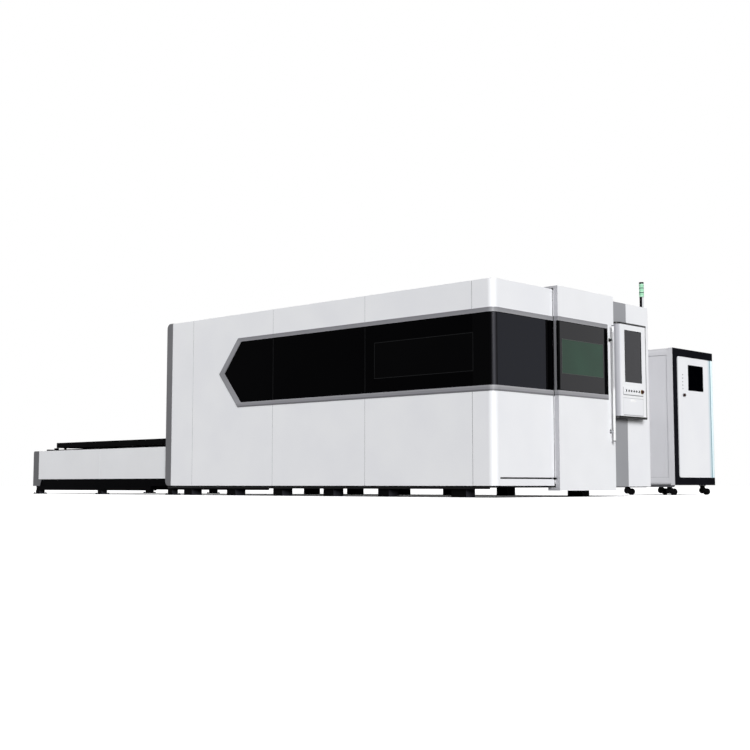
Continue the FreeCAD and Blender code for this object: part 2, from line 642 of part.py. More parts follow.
# ---------------------------------------------------------------- sliding door
def make_end_door():
    y0 = DOOR_LEFT
    y1 = DOOR_RIGHT
    leaf = block(DOOR_BACK_X, DOOR_FACE_X, y0, y1, DOOR_BOTTOM, DOOR_TOP)
    leaf = leaf.cut(block(DOOR_BACK_X - 1.0, DOOR_FACE_X - DOOR_SHEET, y0 + DOOR_SHEET, y1 - DOOR_SHEET,
                          DOOR_BOTTOM + DOOR_LOW_FLANGE_THICKNESS, DOOR_TOP - DOOR_FLANGE_THICKNESS))
    top_flange = block(-DOOR_FLANGE_REACH, DOOR_FACE_X, y0, y1, DOOR_TOP - DOOR_FLANGE_THICKNESS, DOOR_TOP)
    low_flange = block(-DOOR_LOW_FLANGE_REACH, DOOR_FACE_X, y0, y1,
                       DOOR_BOTTOM, DOOR_BOTTOM + DOOR_LOW_FLANGE_THICKNESS)
    parts = [top_flange, low_flange]
    track_top = ROOF_TOP + TRACK_HEIGHT
    shoe_x = -TRACK_SETBACK - TRACK_WIDTH
    for y in (y0 + DOOR_SHOE, y1 - 2.0 * DOOR_SHOE):
        parts.append(block(shoe_x, shoe_x + TRACK_WIDTH, y, y + DOOR_SHOE,
                           track_top + DOOR_SHOE_GAP, DOOR_TOP - DOOR_FLANGE_THICKNESS))
    half_guide = GUIDE_THICKNESS / 2.0
    parts.append(block(-PANEL_DEPTH / 2.0, DOOR_BACK_X + GUIDE_REACH, y0 - SEAM - GUIDE_LENGTH / 2.0,
                       y0 + DOOR_SHEET,
                       SLOT_CENTRE_HEIGHT - half_guide, SLOT_CENTRE_HEIGHT + half_guide))
    leaf = leaf.multiFuse(parts)
    window = block(DOOR_FACE_X - DOOR_THICKNESS, DOOR_FACE_X + 1.0, y0 + DOOR_SHEET,
                   y0 + DOOR_GLASS_WIDTH, GLASS_BOTTOM, GLASS_TOP)
    nodes["end_door_leaf"] = leaf.cut(window).removeSplitter()

    x1 = DOOR_FACE_X - DOOR_SHEET / 2.0
    x0 = x1 - GLASS_THICKNESS
    pane = block(x0, x1, y0 + DOOR_SHEET, y0 + DOOR_GLASS_WIDTH, GLASS_BOTTOM, GLASS_TOP)
    wy0 = y0 + DOOR_WINDOW_INSET
    wy1 = wy0 + DOOR_WINDOW_WIDTH
    wz0 = GLASS_BOTTOM + DOOR_WINDOW_RISE
    wz1 = wz0 + DOOR_WINDOW_HEIGHT
    nodes["end_door_glass"] = pane.cut(block(x0 - 1.0, x1 + 1.0, wy0, wy1, wz0, wz1))
    nodes["end_door_window"] = block(x0 - DOOR_WINDOW_PROUD, x1, wy0, wy1, wz0, wz1)

    hy = y1 - HANDLE_FROM_EDGE
    hx0 = DOOR_FACE_X + HANDLE_STANDOFF
    bar = block(hx0, hx0 + HANDLE_DEPTH, hy - HANDLE_WIDTH / 2.0, hy + HANDLE_WIDTH / 2.0,
                HANDLE_BOTTOM, HANDLE_BOTTOM + HANDLE_LENGTH)
    bar = bar.makeFillet(HANDLE_DEPTH / 3.0, edges_along(bar, Vector(0, 0, 1), lambda c: True))
    posts = []
    for z in (HANDLE_BOTTOM + HANDLE_POST_LOW_INSET, HANDLE_BOTTOM + HANDLE_LENGTH - HANDLE_POST_TOP_INSET):
        posts.append(rod(HANDLE_POST_RADIUS, HANDLE_STANDOFF + HANDLE_DEPTH / 2.0,
                         (DOOR_FACE_X, hy, z), (1, 0, 0)))
    nodes["end_door_handle"] = bar.multiFuse(posts)


def make_door_tracks():
    x0 = -TRACK_SETBACK - TRACK_WIDTH
    y0 = DOOR_LEFT - DOOR_TRAVEL
    top = block(x0, x0 + TRACK_WIDTH, y0, DOOR_RIGHT, ROOF_TOP, ROOF_TOP + TRACK_HEIGHT)
    channel_height = SLOT_HEIGHT + 2.0 * SHEET
    z0 = SLOT_CENTRE_HEIGHT - channel_height / 2.0
    channel = block(-PANEL_DEPTH, -SHEET, y0 - GUIDE_LENGTH, DOOR_LEFT - SEAM - SHEET, z0, z0 + channel_height)
    groove = block(-PANEL_DEPTH + SHEET, 0.0, y0 - GUIDE_LENGTH - 1.0, DOOR_LEFT,
                   z0 + SHEET, z0 + channel_height - SHEET)
    nodes["door_tracks"] = group([top, channel.cut(groove)])


# ---------------------------------------------------------------- bed and feet
def foot_places():
    first = LEFT_END + FOOT_FIRST
    pitch = (FOOT_LAST_X - FOOT_SIZE - first) / (FOOT_COUNT - 1)
    return [first + i * pitch for i in range(FOOT_COUNT)]


def make_bed():
    tubes = []
    for y0 in (BED_NEAR, BED_FAR):
        y1 = y0 + BED_BEAM_WIDTH
        tubes.append(block(BED_LEFT, BED_RIGHT, y0, y1, BED_BEAM_TOP - BED_BEAM_HEIGHT, BED_BEAM_TOP))
        tubes.append(block(BED_LEFT, BED_RIGHT, y0, y1, BASE_HEIGHT, BASE_HEIGHT + BED_SILL_HEIGHT))
        for x in foot_places() + [CORNER_FOOT_X]:
            tubes.append(block(x, x + FOOT_SIZE, y0, y1, BASE_HEIGHT + BED_SILL_HEIGHT,
                               BED_BEAM_TOP - BED_BEAM_HEIGHT))
    sill_top = BASE_HEIGHT + BED_SILL_HEIGHT
    for x in foot_places() + [CORNER_FOOT_X]:
        tubes.append(block(x, x + FOOT_SIZE, BED_NEAR + BED_BEAM_WIDTH, BED_FAR, BASE_HEIGHT, sill_top))
        tubes.append(block(x, x + FOOT_SIZE, BED_FAR + BED_BEAM_WIDTH, FAR_FOOT_Y + FOOT_SIZE, BASE_HEIGHT, sill_top))
    nodes["bed_frame"] = group(tubes)

    rails = []
    for y0 in (BED_NEAR, BED_FAR):
        centre = y0 + BED_BEAM_WIDTH / 2.0
        rails.append(block(BED_LEFT, BED_RIGHT, centre - RAIL_WIDTH / 2.0, centre + RAIL_WIDTH / 2.0,
                           BED_BEAM_TOP, RAIL_TOP))
    nodes["gantry_rails"] = group(rails)


def table_foot(x0, y0, post_top):
    plate = block(x0, x0 + TABLE_FOOT_PLATE, y0, y0 + TABLE_FOOT_PLATE, 0.0, TABLE_FOOT_PLATE_THICKNESS)
    margin = (TABLE_FOOT_PLATE - TABLE_FOOT_POST) / 2.0
    post = block(x0 + margin, x0 + margin + TABLE_FOOT_POST, y0 + margin, y0 + margin + TABLE_FOOT_POST,
                 TABLE_FOOT_PLATE_THICKNESS, post_top)
    foot = plate.fuse(post)
    offset = (TABLE_FOOT_PLATE - FOOT_BOLT_SPACING) / 2.0
    for dx in (offset, TABLE_FOOT_PLATE - offset):
        for dy in (offset, TABLE_FOOT_PLATE - offset):
            foot = foot.cut(rod(FOOT_BOLT_RADIUS, TABLE_FOOT_PLATE_THICKNESS, (x0 + dx, y0 + dy, 0.0), (0, 0, 1)))
    return foot


def table_foot_places():
    first = TABLE_LEFT + 16.0
    last = LEFT_END - TABLE_FOOT_PLATE / 2.0
    return [first, (first + last) / 2.0, last]


def make_feet():
    feet = []
    for y in (FOOT_SETBACK, FAR_FOOT_Y):
        for x in foot_places():
            feet.append(block(x, x + FOOT_SIZE, y, y + FOOT_SIZE, 0.0, BASE_HEIGHT))
        feet.append(block(CORNER_FOOT_X, CORNER_FOOT_X + CORNER_FOOT_LENGTH, y, y + CORNER_FOOT_DEPTH,
                          0.0, BASE_HEIGHT))
    for share in REAR_FOOT_SHARES:
        x = TRIM_EDGE * (1.0 - share)
        feet.append(block(x, x + REAR_FOOT_SIZE, FRAME_REAR - REAR_FOOT_SIZE, FRAME_REAR, 0.0, BASE_HEIGHT))
    for x in table_foot_places()[:2]:
        feet.append(table_foot(x, TABLE_NEAR, TABLE_SILL_BOTTOM))
        feet.append(table_foot(x, TABLE_FAR - TABLE_FOOT_PLATE, TABLE_SILL_BOTTOM))
    portal_x = table_foot_places()[2]
    feet.append(table_foot(portal_x, TABLE_NEAR, TABLE_SILL_STEP_BOTTOM))
    feet.append(table_foot(portal_x, TABLE_FAR - TABLE_FOOT_PLATE, TABLE_SILL_STEP_BOTTOM))
    nodes["levelling_feet"] = group(feet)


# ---------------------------------------------------------------- gantry
def way_heights():
    """Centre heights of the two rails on the front of the gantry beam."""
    return (BEAM_BOTTOM + WAY_INSET, BEAM_BOTTOM + GANTRY_BEAM_HEIGHT - WAY_INSET)


def saddle(side):
    """Carrier that runs on one bed rail, with two grooved shoes under it and a gusset on it."""
    x = GANTRY_REST_X
    half = SADDLE_LENGTH / 2.0
    centre = side + BED_BEAM_WIDTH / 2.0
    groove_half = RAIL_WIDTH / 2.0 + RAIL_FIT
    shoe_z = SADDLE_BOTTOM - SHOE_HEIGHT
    parts = [block(x - half, x + half, side, side + BED_BEAM_WIDTH, SADDLE_BOTTOM, BEAM_BOTTOM)]
    for x0 in (x - half + SHOE_END_INSET, x + half - SHOE_END_INSET - SHOE_LENGTH):
        x1 = x0 + SHOE_LENGTH
        shoe = block(x0, x1, centre - SHOE_WIDTH / 2.0, centre + SHOE_WIDTH / 2.0, shoe_z, SADDLE_BOTTOM)
        groove = block(x0 - 1.0, x1 + 1.0, centre - groove_half, centre + groove_half, shoe_z - 1.0, SADDLE_BOTTOM)
        parts.append(shoe.cut(groove))
    gusset_y = centre - GANTRY_WALL / 2.0
    beam_x = x + GANTRY_BEAM_WIDTH / 2.0
    gusset = [
        (beam_x, gusset_y, BEAM_BOTTOM),
        (x + half, gusset_y, BEAM_BOTTOM),
        (beam_x, gusset_y, BEAM_BOTTOM + GANTRY_BEAM_HEIGHT - GANTRY_WALL),
    ]
    parts.append(polygon_prism(gusset, (0, GANTRY_WALL, 0)))
    return parts


def make_gantry():
    x0 = GANTRY_REST_X - GANTRY_BEAM_WIDTH / 2.0
    x1 = GANTRY_REST_X + GANTRY_BEAM_WIDTH / 2.0
    y0 = BED_NEAR
    y1 = BED_FAR + BED_BEAM_WIDTH
    beam = block(x0, x1, y0, y1, BEAM_BOTTOM, BEAM_BOTTOM + GANTRY_BEAM_HEIGHT)
    beam = beam.cut(block(x0 + GANTRY_WALL, x1 - GANTRY_WALL, y0 - 1.0, y1 + 1.0,
                          BEAM_BOTTOM + GANTRY_WALL, BEAM_BOTTOM + GANTRY_BEAM_HEIGHT - GANTRY_WALL))
    parts = saddle(BED_NEAR) + saddle(BED_FAR)
    for z in way_heights():
        parts.append(block(x0 - WAY_PROUD, x0, y0, y1, z - WAY_HEIGHT / 2.0, z + WAY_HEIGHT / 2.0))
    nodes["gantry_beam"] = beam.multiFuse(parts).removeSplitter()


def make_carriage():
    beam_x = GANTRY_REST_X - GANTRY_BEAM_WIDTH / 2.0
    x1 = beam_x - CARRIAGE_GAP
    x0 = x1 - CARRIAGE_PLATE
    y = CARRIAGE_REST_Y
    z0 = BEAM_BOTTOM + (GANTRY_BEAM_HEIGHT - CARRIAGE_HEIGHT) / 2.0
    z1 = z0 + CARRIAGE_HEIGHT
    plate = block(x0, x1, y - CARRIAGE_WIDTH / 2.0, y + CARRIAGE_WIDTH / 2.0, z0, z1)
    parts = []
    groove_x = beam_x - WAY_PROUD - RAIL_FIT
    groove_half = WAY_HEIGHT / 2.0 + RAIL_FIT
    for z in way_heights():
        for cy in (y - CARRIAGE_SHOE_SPREAD / 2.0, y + CARRIAGE_SHOE_SPREAD / 2.0):
            y0 = cy - CARRIAGE_SHOE_WIDTH / 2.0
            y1 = cy + CARRIAGE_SHOE_WIDTH / 2.0
            half = CARRIAGE_SHOE_HEIGHT / 2.0
            shoe = block(x1, beam_x - CARRIAGE_AIR, y0, y1, z - half, z + half)
            parts.append(shoe.cut(block(groove_x, beam_x, y0 - 1.0, y1 + 1.0, z - groove_half, z + groove_half)))
    way_reach = HEAD_WIDTH / 2.0 + LIFT_WAY_GAP
    for y0 in (y - way_reach - LIFT_WAY_WIDTH, y + way_reach):
        parts.append(block(x0 - LIFT_WAY_DEPTH, x0, y0, y0 + LIFT_WAY_WIDTH, z0, z1))
    shelf_z = z1 + LIFT_SHELF_THICKNESS
    motor_x = x0 - LIFT_MOTOR_REACH
    parts.append(block(x0 - 2.0 * LIFT_MOTOR_REACH, x1, y - LIFT_SHELF_WIDTH / 2.0, y + LIFT_SHELF_WIDTH / 2.0,
                       z1, shelf_z))
    parts.append(rod(LIFT_MOTOR_RADIUS, LIFT_MOTOR_LENGTH, (motor_x, y, shelf_z), (0, 0, 1)))
    nodes["cross_carriage"] = plate.multiFuse(parts).removeSplitter()
    make_head(x0 - LIFT_WAY_DEPTH - HEAD_AIR, y, z1 - HEAD_TOP_INSET)


def make_head(x1, y, top):
    """Cutting head that hangs on the lift ways: back plate, body, collar and nozzle cone."""
    x0 = x1 - HEAD_DEPTH
    plate_x = x1 - HEAD_PLATE
    bottom = NOZZLE_TIP_Z + NOZZLE_LENGTH
    half = HEAD_WIDTH / 2.0
    wing = half + HEAD_PLATE_WING
    back = block(plate_x, x1, y - wing, y + wing, bottom + HEAD_PLATE_RISE, top)
    body = block(x0, plate_x, y - half, y + half, bottom, top)
    body = body.makeFillet(HEAD_ROUNDING, edges_along(body, Vector(0, 0, 1), lambda c: c.x < x0 + 1.0))
    axis_x = (x0 + plate_x) / 2.0
    collar_z = bottom - NOZZLE_COLLAR_LENGTH
    collar = rod(NOZZLE_COLLAR_RADIUS, NOZZLE_COLLAR_LENGTH, (axis_x, y, collar_z), (0, 0, 1))
    cone = Part.makeCone(NOZZLE_TIP_RADIUS, NOZZLE_ROOT_RADIUS, collar_z - NOZZLE_TIP_Z,
                         Vector(axis_x, y, NOZZLE_TIP_Z), Vector(0, 0, 1))
    nodes["cutting_head"] = back.multiFuse([body, collar, cone]).removeSplitter()


# ---------------------------------------------------------------- pallets
def slat(x0, base_z, tip_z):
    """One saw-toothed support slat across the pallet."""
    y0 = PALLET_NEAR + PALLET_BEAM / 2.0
    y1 = PALLET_FAR - PALLET_BEAM / 2.0
    pitch = (y1 - y0) / SLAT_TOOTH_COUNT
    valley_z = tip_z - SLAT_TOOTH_HEIGHT
    points = [(x0, y1, valley_z), (x0, y1, base_z), (x0, y0, base_z), (x0, y0, valley_z)]
    for i in range(SLAT_TOOTH_COUNT):
        points.append((x0, y0 + (i + 0.5) * pitch, tip_z))
        if i < SLAT_TOOTH_COUNT - 1:
            points.append((x0, y0 + (i + 1.0) * pitch, valley_z))
    return polygon_prism(points, (SLAT_THICKNESS, 0, 0))


def pallet(x0):
    """Grate on wheels, drawn at the upper level with its left end at x0."""
    x1 = x0 + PALLET_LENGTH
    z0 = UPPER_RAIL_TOP + WHEEL_LIFT
    z1 = z0 + PALLET_BEAM_HEIGHT
    near = block(x0, x1, PALLET_NEAR, PALLET_NEAR + PALLET_BEAM, z0, z1)
    parts = [block(x0, x1, PALLET_FAR - PALLET_BEAM, PALLET_FAR, z0, z1)]
    for x in (x0, x1 - PALLET_BEAM):
        parts.append(block(x, x + PALLET_BEAM, PALLET_NEAR + PALLET_BEAM, PALLET_FAR - PALLET_BEAM, z0, z1))
    for i in range(STRINGER_COUNT):
        y = PALLET_NEAR + (i + 1) * PALLET_WIDTH / (STRINGER_COUNT + 1) - STRINGER_WIDTH / 2.0
        parts.append(block(x0 + PALLET_BEAM, x1 - PALLET_BEAM, y, y + STRINGER_WIDTH, z0, z1 - SLAT_TOOTH_HEIGHT))
    inner = PALLET_LENGTH - 2.0 * PALLET_BEAM
    pitch = inner / (SLAT_COUNT + 1)
    for i in range(SLAT_COUNT):
        x = x0 + PALLET_BEAM + (i + 1) * pitch - SLAT_THICKNESS / 2.0
        parts.append(slat(x, z0 + SLAT_FOOT_RISE, z1 + SLAT_TIP_RISE))
    wheel_z = UPPER_RAIL_TOP + WHEEL_CLEARANCE + WHEEL_RADIUS
    wheel_pitch = (PALLET_LENGTH - 2.0 * WHEEL_END_INSET) / (WHEEL_COUNT - 1)
    for i in range(WHEEL_COUNT):
        x = x0 + WHEEL_END_INSET + i * wheel_pitch
        for y in (PALLET_NEAR + WHEEL_SIDE_INSET, PALLET_FAR - WHEEL_SIDE_INSET - WHEEL_WIDTH):
            parts.append(rod(WHEEL_RADIUS, WHEEL_WIDTH, (x, y, wheel_z), (0, 1, 0)))
    return near.multiFuse(parts)


def make_pallets():
    upper = pallet(UPPER_PALLET_LEFT)
    lower = upper.copy()
    lower.translate(Vector(PALLET_TRAVEL, 0, -PALLET_LEVEL))
    nodes["upper_pallet"] = upper
    nodes["lower_pallet"] = lower


def make_pallet_rails():
    x0 = TABLE_PANEL_LEFT
    x1 = PALLET_PARK_X + PALLET_RAIL_OVERRUN
    bars = []
    for z1 in (UPPER_RAIL_TOP, UPPER_RAIL_TOP - PALLET_LEVEL):
        z0 = z1 - PALLET_RAIL_HEIGHT
        side = [block(x0, x1, PALLET_NEAR, PALLET_NEAR + PALLET_RAIL_WIDTH, z0, z1)]
        for x in foot_places()[:4]:
            side.append(block(x, x + RAIL_BRACKET, BED_NEAR + BED_BEAM_WIDTH, PALLET_NEAR, z0, z1))
        for x in table_post_places():
            side.append(block(x + TABLE_POST / 4.0, x + TABLE_POST * 0.75,
                              TABLE_NEAR + TABLE_PANEL_DEPTH + TABLE_TOP_BEAM, PALLET_NEAR, z0, z1))
        if z1 == UPPER_RAIL_TOP:
            side.append(block(x0, x0 + RAIL_END_BLOCK, PALLET_NEAR, PALLET_NEAR + PALLET_RAIL_WIDTH,
                              z1, z1 + RAIL_END_BLOCK_HEIGHT))
        bars += side
        bars += [mirrored_y(s) for s in side]
    nodes["pallet_rails"] = group(bars)


# ---------------------------------------------------------------- exchange table
def table_post_places():
    first = TABLE_PANEL_LEFT
    last = LEFT_END - SEAM - TABLE_POST
    return [first, (first + last) / 2.0, last]


def make_table():
    beam_y0 = TABLE_NEAR + TABLE_PANEL_DEPTH
    beam_y1 = beam_y0 + TABLE_TOP_BEAM
    x0 = TABLE_PANEL_LEFT
    x1 = LEFT_END - SEAM
    sill_y0 = TABLE_NEAR + TABLE_SILL_SETBACK
    step_x = x1 - TABLE_STEP_LENGTH
    pieces = []
    sill = block(x0 - TABLE_SILL_OVERRUN, step_x, sill_y0, beam_y1, TABLE_SILL_BOTTOM, TABLE_PANEL_BOTTOM)
    step = block(step_x, x1, sill_y0, beam_y1, TABLE_SILL_STEP_BOTTOM, TABLE_PANEL_BOTTOM)
    beam = block(x0, x1, beam_y0, beam_y1, TABLE_PANEL_TOP - TABLE_TOP_BEAM, TABLE_PANEL_TOP)
    side = [sill, step, beam]
    for x in table_post_places():
        side.append(block(x, x + TABLE_POST, beam_y0, beam_y1, TABLE_PANEL_BOTTOM,
                          TABLE_PANEL_TOP - TABLE_TOP_BEAM))
    pieces += side
    pieces += [mirrored_y(s) for s in side]
    for x in table_post_places():
        pieces.append(block(x, x + TABLE_POST, beam_y1, 2.0 * CENTRE_Y - beam_y1,
                            TABLE_SILL_STEP_BOTTOM, TABLE_PANEL_BOTTOM))
    nodes["table_frame"] = group(pieces)

    seam_x = (x0 + x1) / 2.0
    panels = []
    for px0, px1 in ((x0, seam_x - SEAM / 2.0), (seam_x + SEAM / 2.0, x1)):
        panel = folded_pan(px0, px1, TABLE_NEAR, beam_y0, TABLE_PANEL_BOTTOM, TABLE_PANEL_TOP, "-y")
        panels.append(panel)
        panels.append(mirrored_y(panel))
    nodes["table_side_panels"] = group(panels)

    cap = block(TABLE_LEFT, TABLE_PANEL_LEFT, TABLE_NEAR, TABLE_FAR, END_CAP_BOTTOM, TABLE_PANEL_TOP)
    edges = edges_along(cap, Vector(0, 1, 0), lambda c: c.x < TABLE_LEFT + 1.0 and c.z > TABLE_PANEL_BOTTOM)
    cap = cap.makeFillet(END_CAP_ROUNDING, edges)
    hollow = block(TABLE_LEFT + SHEET, TABLE_PANEL_LEFT + 1.0, TABLE_NEAR + SHEET, TABLE_FAR - SHEET,
                   END_CAP_BOTTOM - 1.0, TABLE_PANEL_TOP - SHEET)
    edges = edges_along(hollow, Vector(0, 1, 0), lambda c: c.x < TABLE_LEFT + 9.0 and c.z > TABLE_PANEL_BOTTOM)
    hollow = hollow.makeFillet(END_CAP_ROUNDING - SHEET, edges)
    lip_top = TABLE_PANEL_BOTTOM - SEAM
    lip = polygon_prism(
        [
            (TABLE_PANEL_LEFT, TABLE_NEAR, END_CAP_BOTTOM),
            (TABLE_PANEL_LEFT + END_LIP_BOTTOM_REACH, TABLE_NEAR, END_CAP_BOTTOM),
            (TABLE_PANEL_LEFT + END_LIP_TOP_REACH, TABLE_NEAR, lip_top),
            (TABLE_PANEL_LEFT, TABLE_NEAR, lip_top),
        ],
        (0, SHEET, 0),
    )
    nodes["table_end_cap"] = cap.cut(hollow).multiFuse([lip, mirrored_y(lip)])


def sprocket(centre, y0):
    """Toothed wheel on the drive shaft that the pallet chain runs round."""
    root = SPROCKET_RADIUS - SPROCKET_TOOTH
    wheel = rod(root, SPROCKET_WIDTH, (centre[0], y0, centre[1]), (0, 1, 0))
    foot_x = root - SPROCKET_ROOT_OVERLAP
    teeth = []
    for i in range(SPROCKET_TEETH):
        outline = [
            (foot_x, y0, -SPROCKET_TOOTH_FOOT / 2.0),
            (SPROCKET_RADIUS, y0, -SPROCKET_TOOTH_TIP / 2.0),
            (SPROCKET_RADIUS, y0, SPROCKET_TOOTH_TIP / 2.0),
            (foot_x, y0, SPROCKET_TOOTH_FOOT / 2.0),
        ]
        tooth = polygon_prism(outline, (0, SPROCKET_WIDTH, 0))
        tooth.rotate(Vector(0, 0, 0), Vector(0, 1, 0), i * 360.0 / SPROCKET_TEETH)
        tooth.translate(Vector(centre[0], 0, centre[1]))
        teeth.append(tooth)
    return wheel.multiFuse(teeth)


def make_pallet_drive():
    x = TABLE_LEFT + END_CAP_DEPTH / 2.0
    z = DRIVE_SHAFT_Z
    y0 = PALLET_NEAR - PALLET_SIDE_GAP
    y1 = PALLET_FAR + PALLET_SIDE_GAP
    shaft = rod(DRIVE_SHAFT_RADIUS, y1 - y0, (x, y0, z), (0, 1, 0))
    wheels = [sprocket((x, z), y0 + SPROCKET_END_INSET),
              sprocket((x, z), y1 - SPROCKET_END_INSET - SPROCKET_WIDTH)]
    nodes["pallet_drive_shaft"] = shaft.multiFuse(wheels)

    bore = rod(DRIVE_SHAFT_RADIUS + BEARING_FIT, y1 - y0 + 2.0 * BEARING_WIDTH, (x, y0 - BEARING_WIDTH, z), (0, 1, 0))
    pieces = []
    for start in (y0 - BEARING_SHAFT_GAP, y1 + BEARING_SHAFT_GAP - BEARING_WIDTH):
        housing = block(x - BEARING_HALF, TABLE_PANEL_LEFT, start, start + BEARING_WIDTH,
                        z - BEARING_HALF, z + BEARING_HALF)
        pieces.append(housing.cut(bore))
    front = x - GEARBOX_FRONT
    back = TABLE_PANEL_LEFT + MOTOR_STAND_THICKNESS
    half = GEARBOX_WIDTH / 2.0
    gearbox = block(front, back, CENTRE_Y - half, CENTRE_Y + half, z - GEARBOX_HEIGHT / 2.0, z + GEARBOX_HEIGHT / 2.0)
    motor = rod(MOTOR_RADIUS, MOTOR_LENGTH, (back, CENTRE_Y, z), (1, 0, 0))
    stand = block(TABLE_PANEL_LEFT, back, CENTRE_Y - MOTOR_STAND_WIDTH / 2.0, CENTRE_Y + MOTOR_STAND_WIDTH / 2.0,
                  TABLE_PANEL_BOTTOM, z)
    pieces.append(gearbox.multiFuse([motor, stand]).cut(bore).removeSplitter())
    nodes["pallet_drive"] = group(pieces)


# ---------------------------------------------------------------- console
def console_y(offset):
    return CONSOLE_LEFT + offset


def make_console():
    face = CONSOLE_DEPTH
    body = block(0.0, face, CONSOLE_LEFT, CONSOLE_RIGHT, CONSOLE_BOTTOM, CONSOLE_TOP)
    left = edges_along(body, Vector(0, 0, 1), lambda c: c.x > 1.0 and c.y < CONSOLE_LEFT + 1.0)
    body = body.makeFillet(CONSOLE_LEFT_ROUNDING, left)
    right = edges_along(body, Vector(0, 0, 1), lambda c: c.x > 1.0 and c.y > CONSOLE_RIGHT - 1.0)
    body = body.makeFillet(CONSOLE_RIGHT_ROUNDING, right)
    inset = CONSOLE_CAP_INSET
    caps = []
    for z0 in (CONSOLE_BOTTOM - CONSOLE_CAP, CONSOLE_TOP):
        cap = block(0.0, face - inset, CONSOLE_LEFT + inset, CONSOLE_RIGHT - inset, z0, z0 + CONSOLE_CAP)
        edges = edges_along(cap, Vector(0, 0, 1), lambda c: c.x > 1.0 and c.y < CONSOLE_LEFT + inset + 1.0)
        caps.append(cap.makeFillet(CONSOLE_LEFT_ROUNDING - inset, edges))
    body = body.multiFuse(caps)
    plate = block(face - 2.0, face + CONTROL_PLATE_PROUD, console_y(FLAP_FROM_LEFT),
                  console_y(FLAP_FROM_LEFT + FLAP_WIDTH), CONTROL_PLATE_BOTTOM,
                  CONTROL_PLATE_BOTTOM + CONTROL_PLATE_HEIGHT)
    body = body.fuse(plate.makeFillet(CONTROL_PLATE_ROUNDING, edges_along(plate, Vector(1, 0, 0), lambda c: True)))

    sy0 = console_y(SCREEN_FROM_LEFT)
    sy1 = sy0 + SCREEN_WIDTH
    body = body.cut(block(face - SCREEN_POCKET, face + 1.0, sy0, sy1, SCREEN_BOTTOM, SCREEN_BOTTOM + SCREEN_HEIGHT))
    floor_x = face - SCREEN_POCKET
    nodes["console_screen"] = block(floor_x, floor_x + SCREEN_THICKNESS, sy0, sy1,
                                    SCREEN_BOTTOM, SCREEN_BOTTOM + SCREEN_HEIGHT)

    fy0 = console_y(FLAP_FROM_LEFT)
    fy1 = fy0 + FLAP_WIDTH
    body = body.cut(block(face - FLAP_THICKNESS - FLAP_GAP, face + 1.0, fy0, fy1,
                          FLAP_BOTTOM, FLAP_BOTTOM + FLAP_HEIGHT))
    margin = KEYBOARD_MARGIN - 10.0
    body = body.cut(block(face - RECESS_DEPTH, face, fy0 + margin, fy1 - margin,
                          FLAP_BOTTOM + margin, FLAP_BOTTOM + FLAP_HEIGHT - margin))
    hole_depth = BUTTON_STEM + BUTTON_TRAVEL + 4.0
    for offset in button_offsets() + [STOP_FROM_LEFT]:
        body = body.cut(rod(BUTTON_RADIUS + BUTTON_CLEARANCE, hole_depth + CONTROL_PLATE_PROUD + 1.0,
                            (face - hole_depth, console_y(offset), BUTTON_Z), (1, 0, 0)))
    nodes["console_housing"] = body.removeSplitter()

    flap = block(face - FLAP_THICKNESS, face, fy0 + FLAP_GAP, fy1 - FLAP_GAP,
                 FLAP_BOTTOM + FLAP_GAP, FLAP_BOTTOM + FLAP_HEIGHT - FLAP_GAP)
    km = KEYBOARD_MARGIN
    tray = block(face - FLAP_THICKNESS - KEYBOARD_THICKNESS, face - FLAP_THICKNESS, fy0 + km, fy1 - km,
                 FLAP_BOTTOM + km, FLAP_BOTTOM + FLAP_HEIGHT - km)
    gy = (fy0 + fy1 - GRIP_WIDTH) / 2.0
    gz1 = FLAP_BOTTOM + FLAP_HEIGHT - GRIP_FROM_TOP
    grip = block(face - GRIP_DEPTH, face + 1.0, gy, gy + GRIP_WIDTH, gz1 - GRIP_HEIGHT, gz1)
    nodes["keyboard_flap"] = flap.fuse(tray).cut(grip).removeSplitter()


def button_offsets():
    return [BUTTON_FIRST + i * BUTTON_PITCH for i in range(BUTTON_COUNT)]


def stop_button(face_x, y, z):
    stem = rod(BUTTON_RADIUS, BUTTON_STEM + STOP_GAP, (face_x - BUTTON_STEM, y, z), (1, 0, 0))
    head = rod(STOP_RADIUS, STOP_HEAD, (face_x + STOP_GAP, y, z), (1, 0, 0))
    rim = [edge for edge in round_edges(head) if edge.CenterOfMass.x > face_x + STOP_GAP + STOP_HEAD / 2.0]
    head = head.makeChamfer(STOP_HEAD / 3.0, rim)
    return stem.fuse(head)


def make_buttons():
    for i, offset in enumerate(button_offsets()):
        button = rod(BUTTON_RADIUS, BUTTON_STEM + BUTTON_PROUD,
                     (CONSOLE_DEPTH - BUTTON_STEM, console_y(offset), BUTTON_Z), (1, 0, 0))
        nodes["console_button_%d" % (i + 1)] = button
    nodes["console_stop_button"] = stop_button(CONSOLE_DEPTH, console_y(STOP_FROM_LEFT), BUTTON_Z)


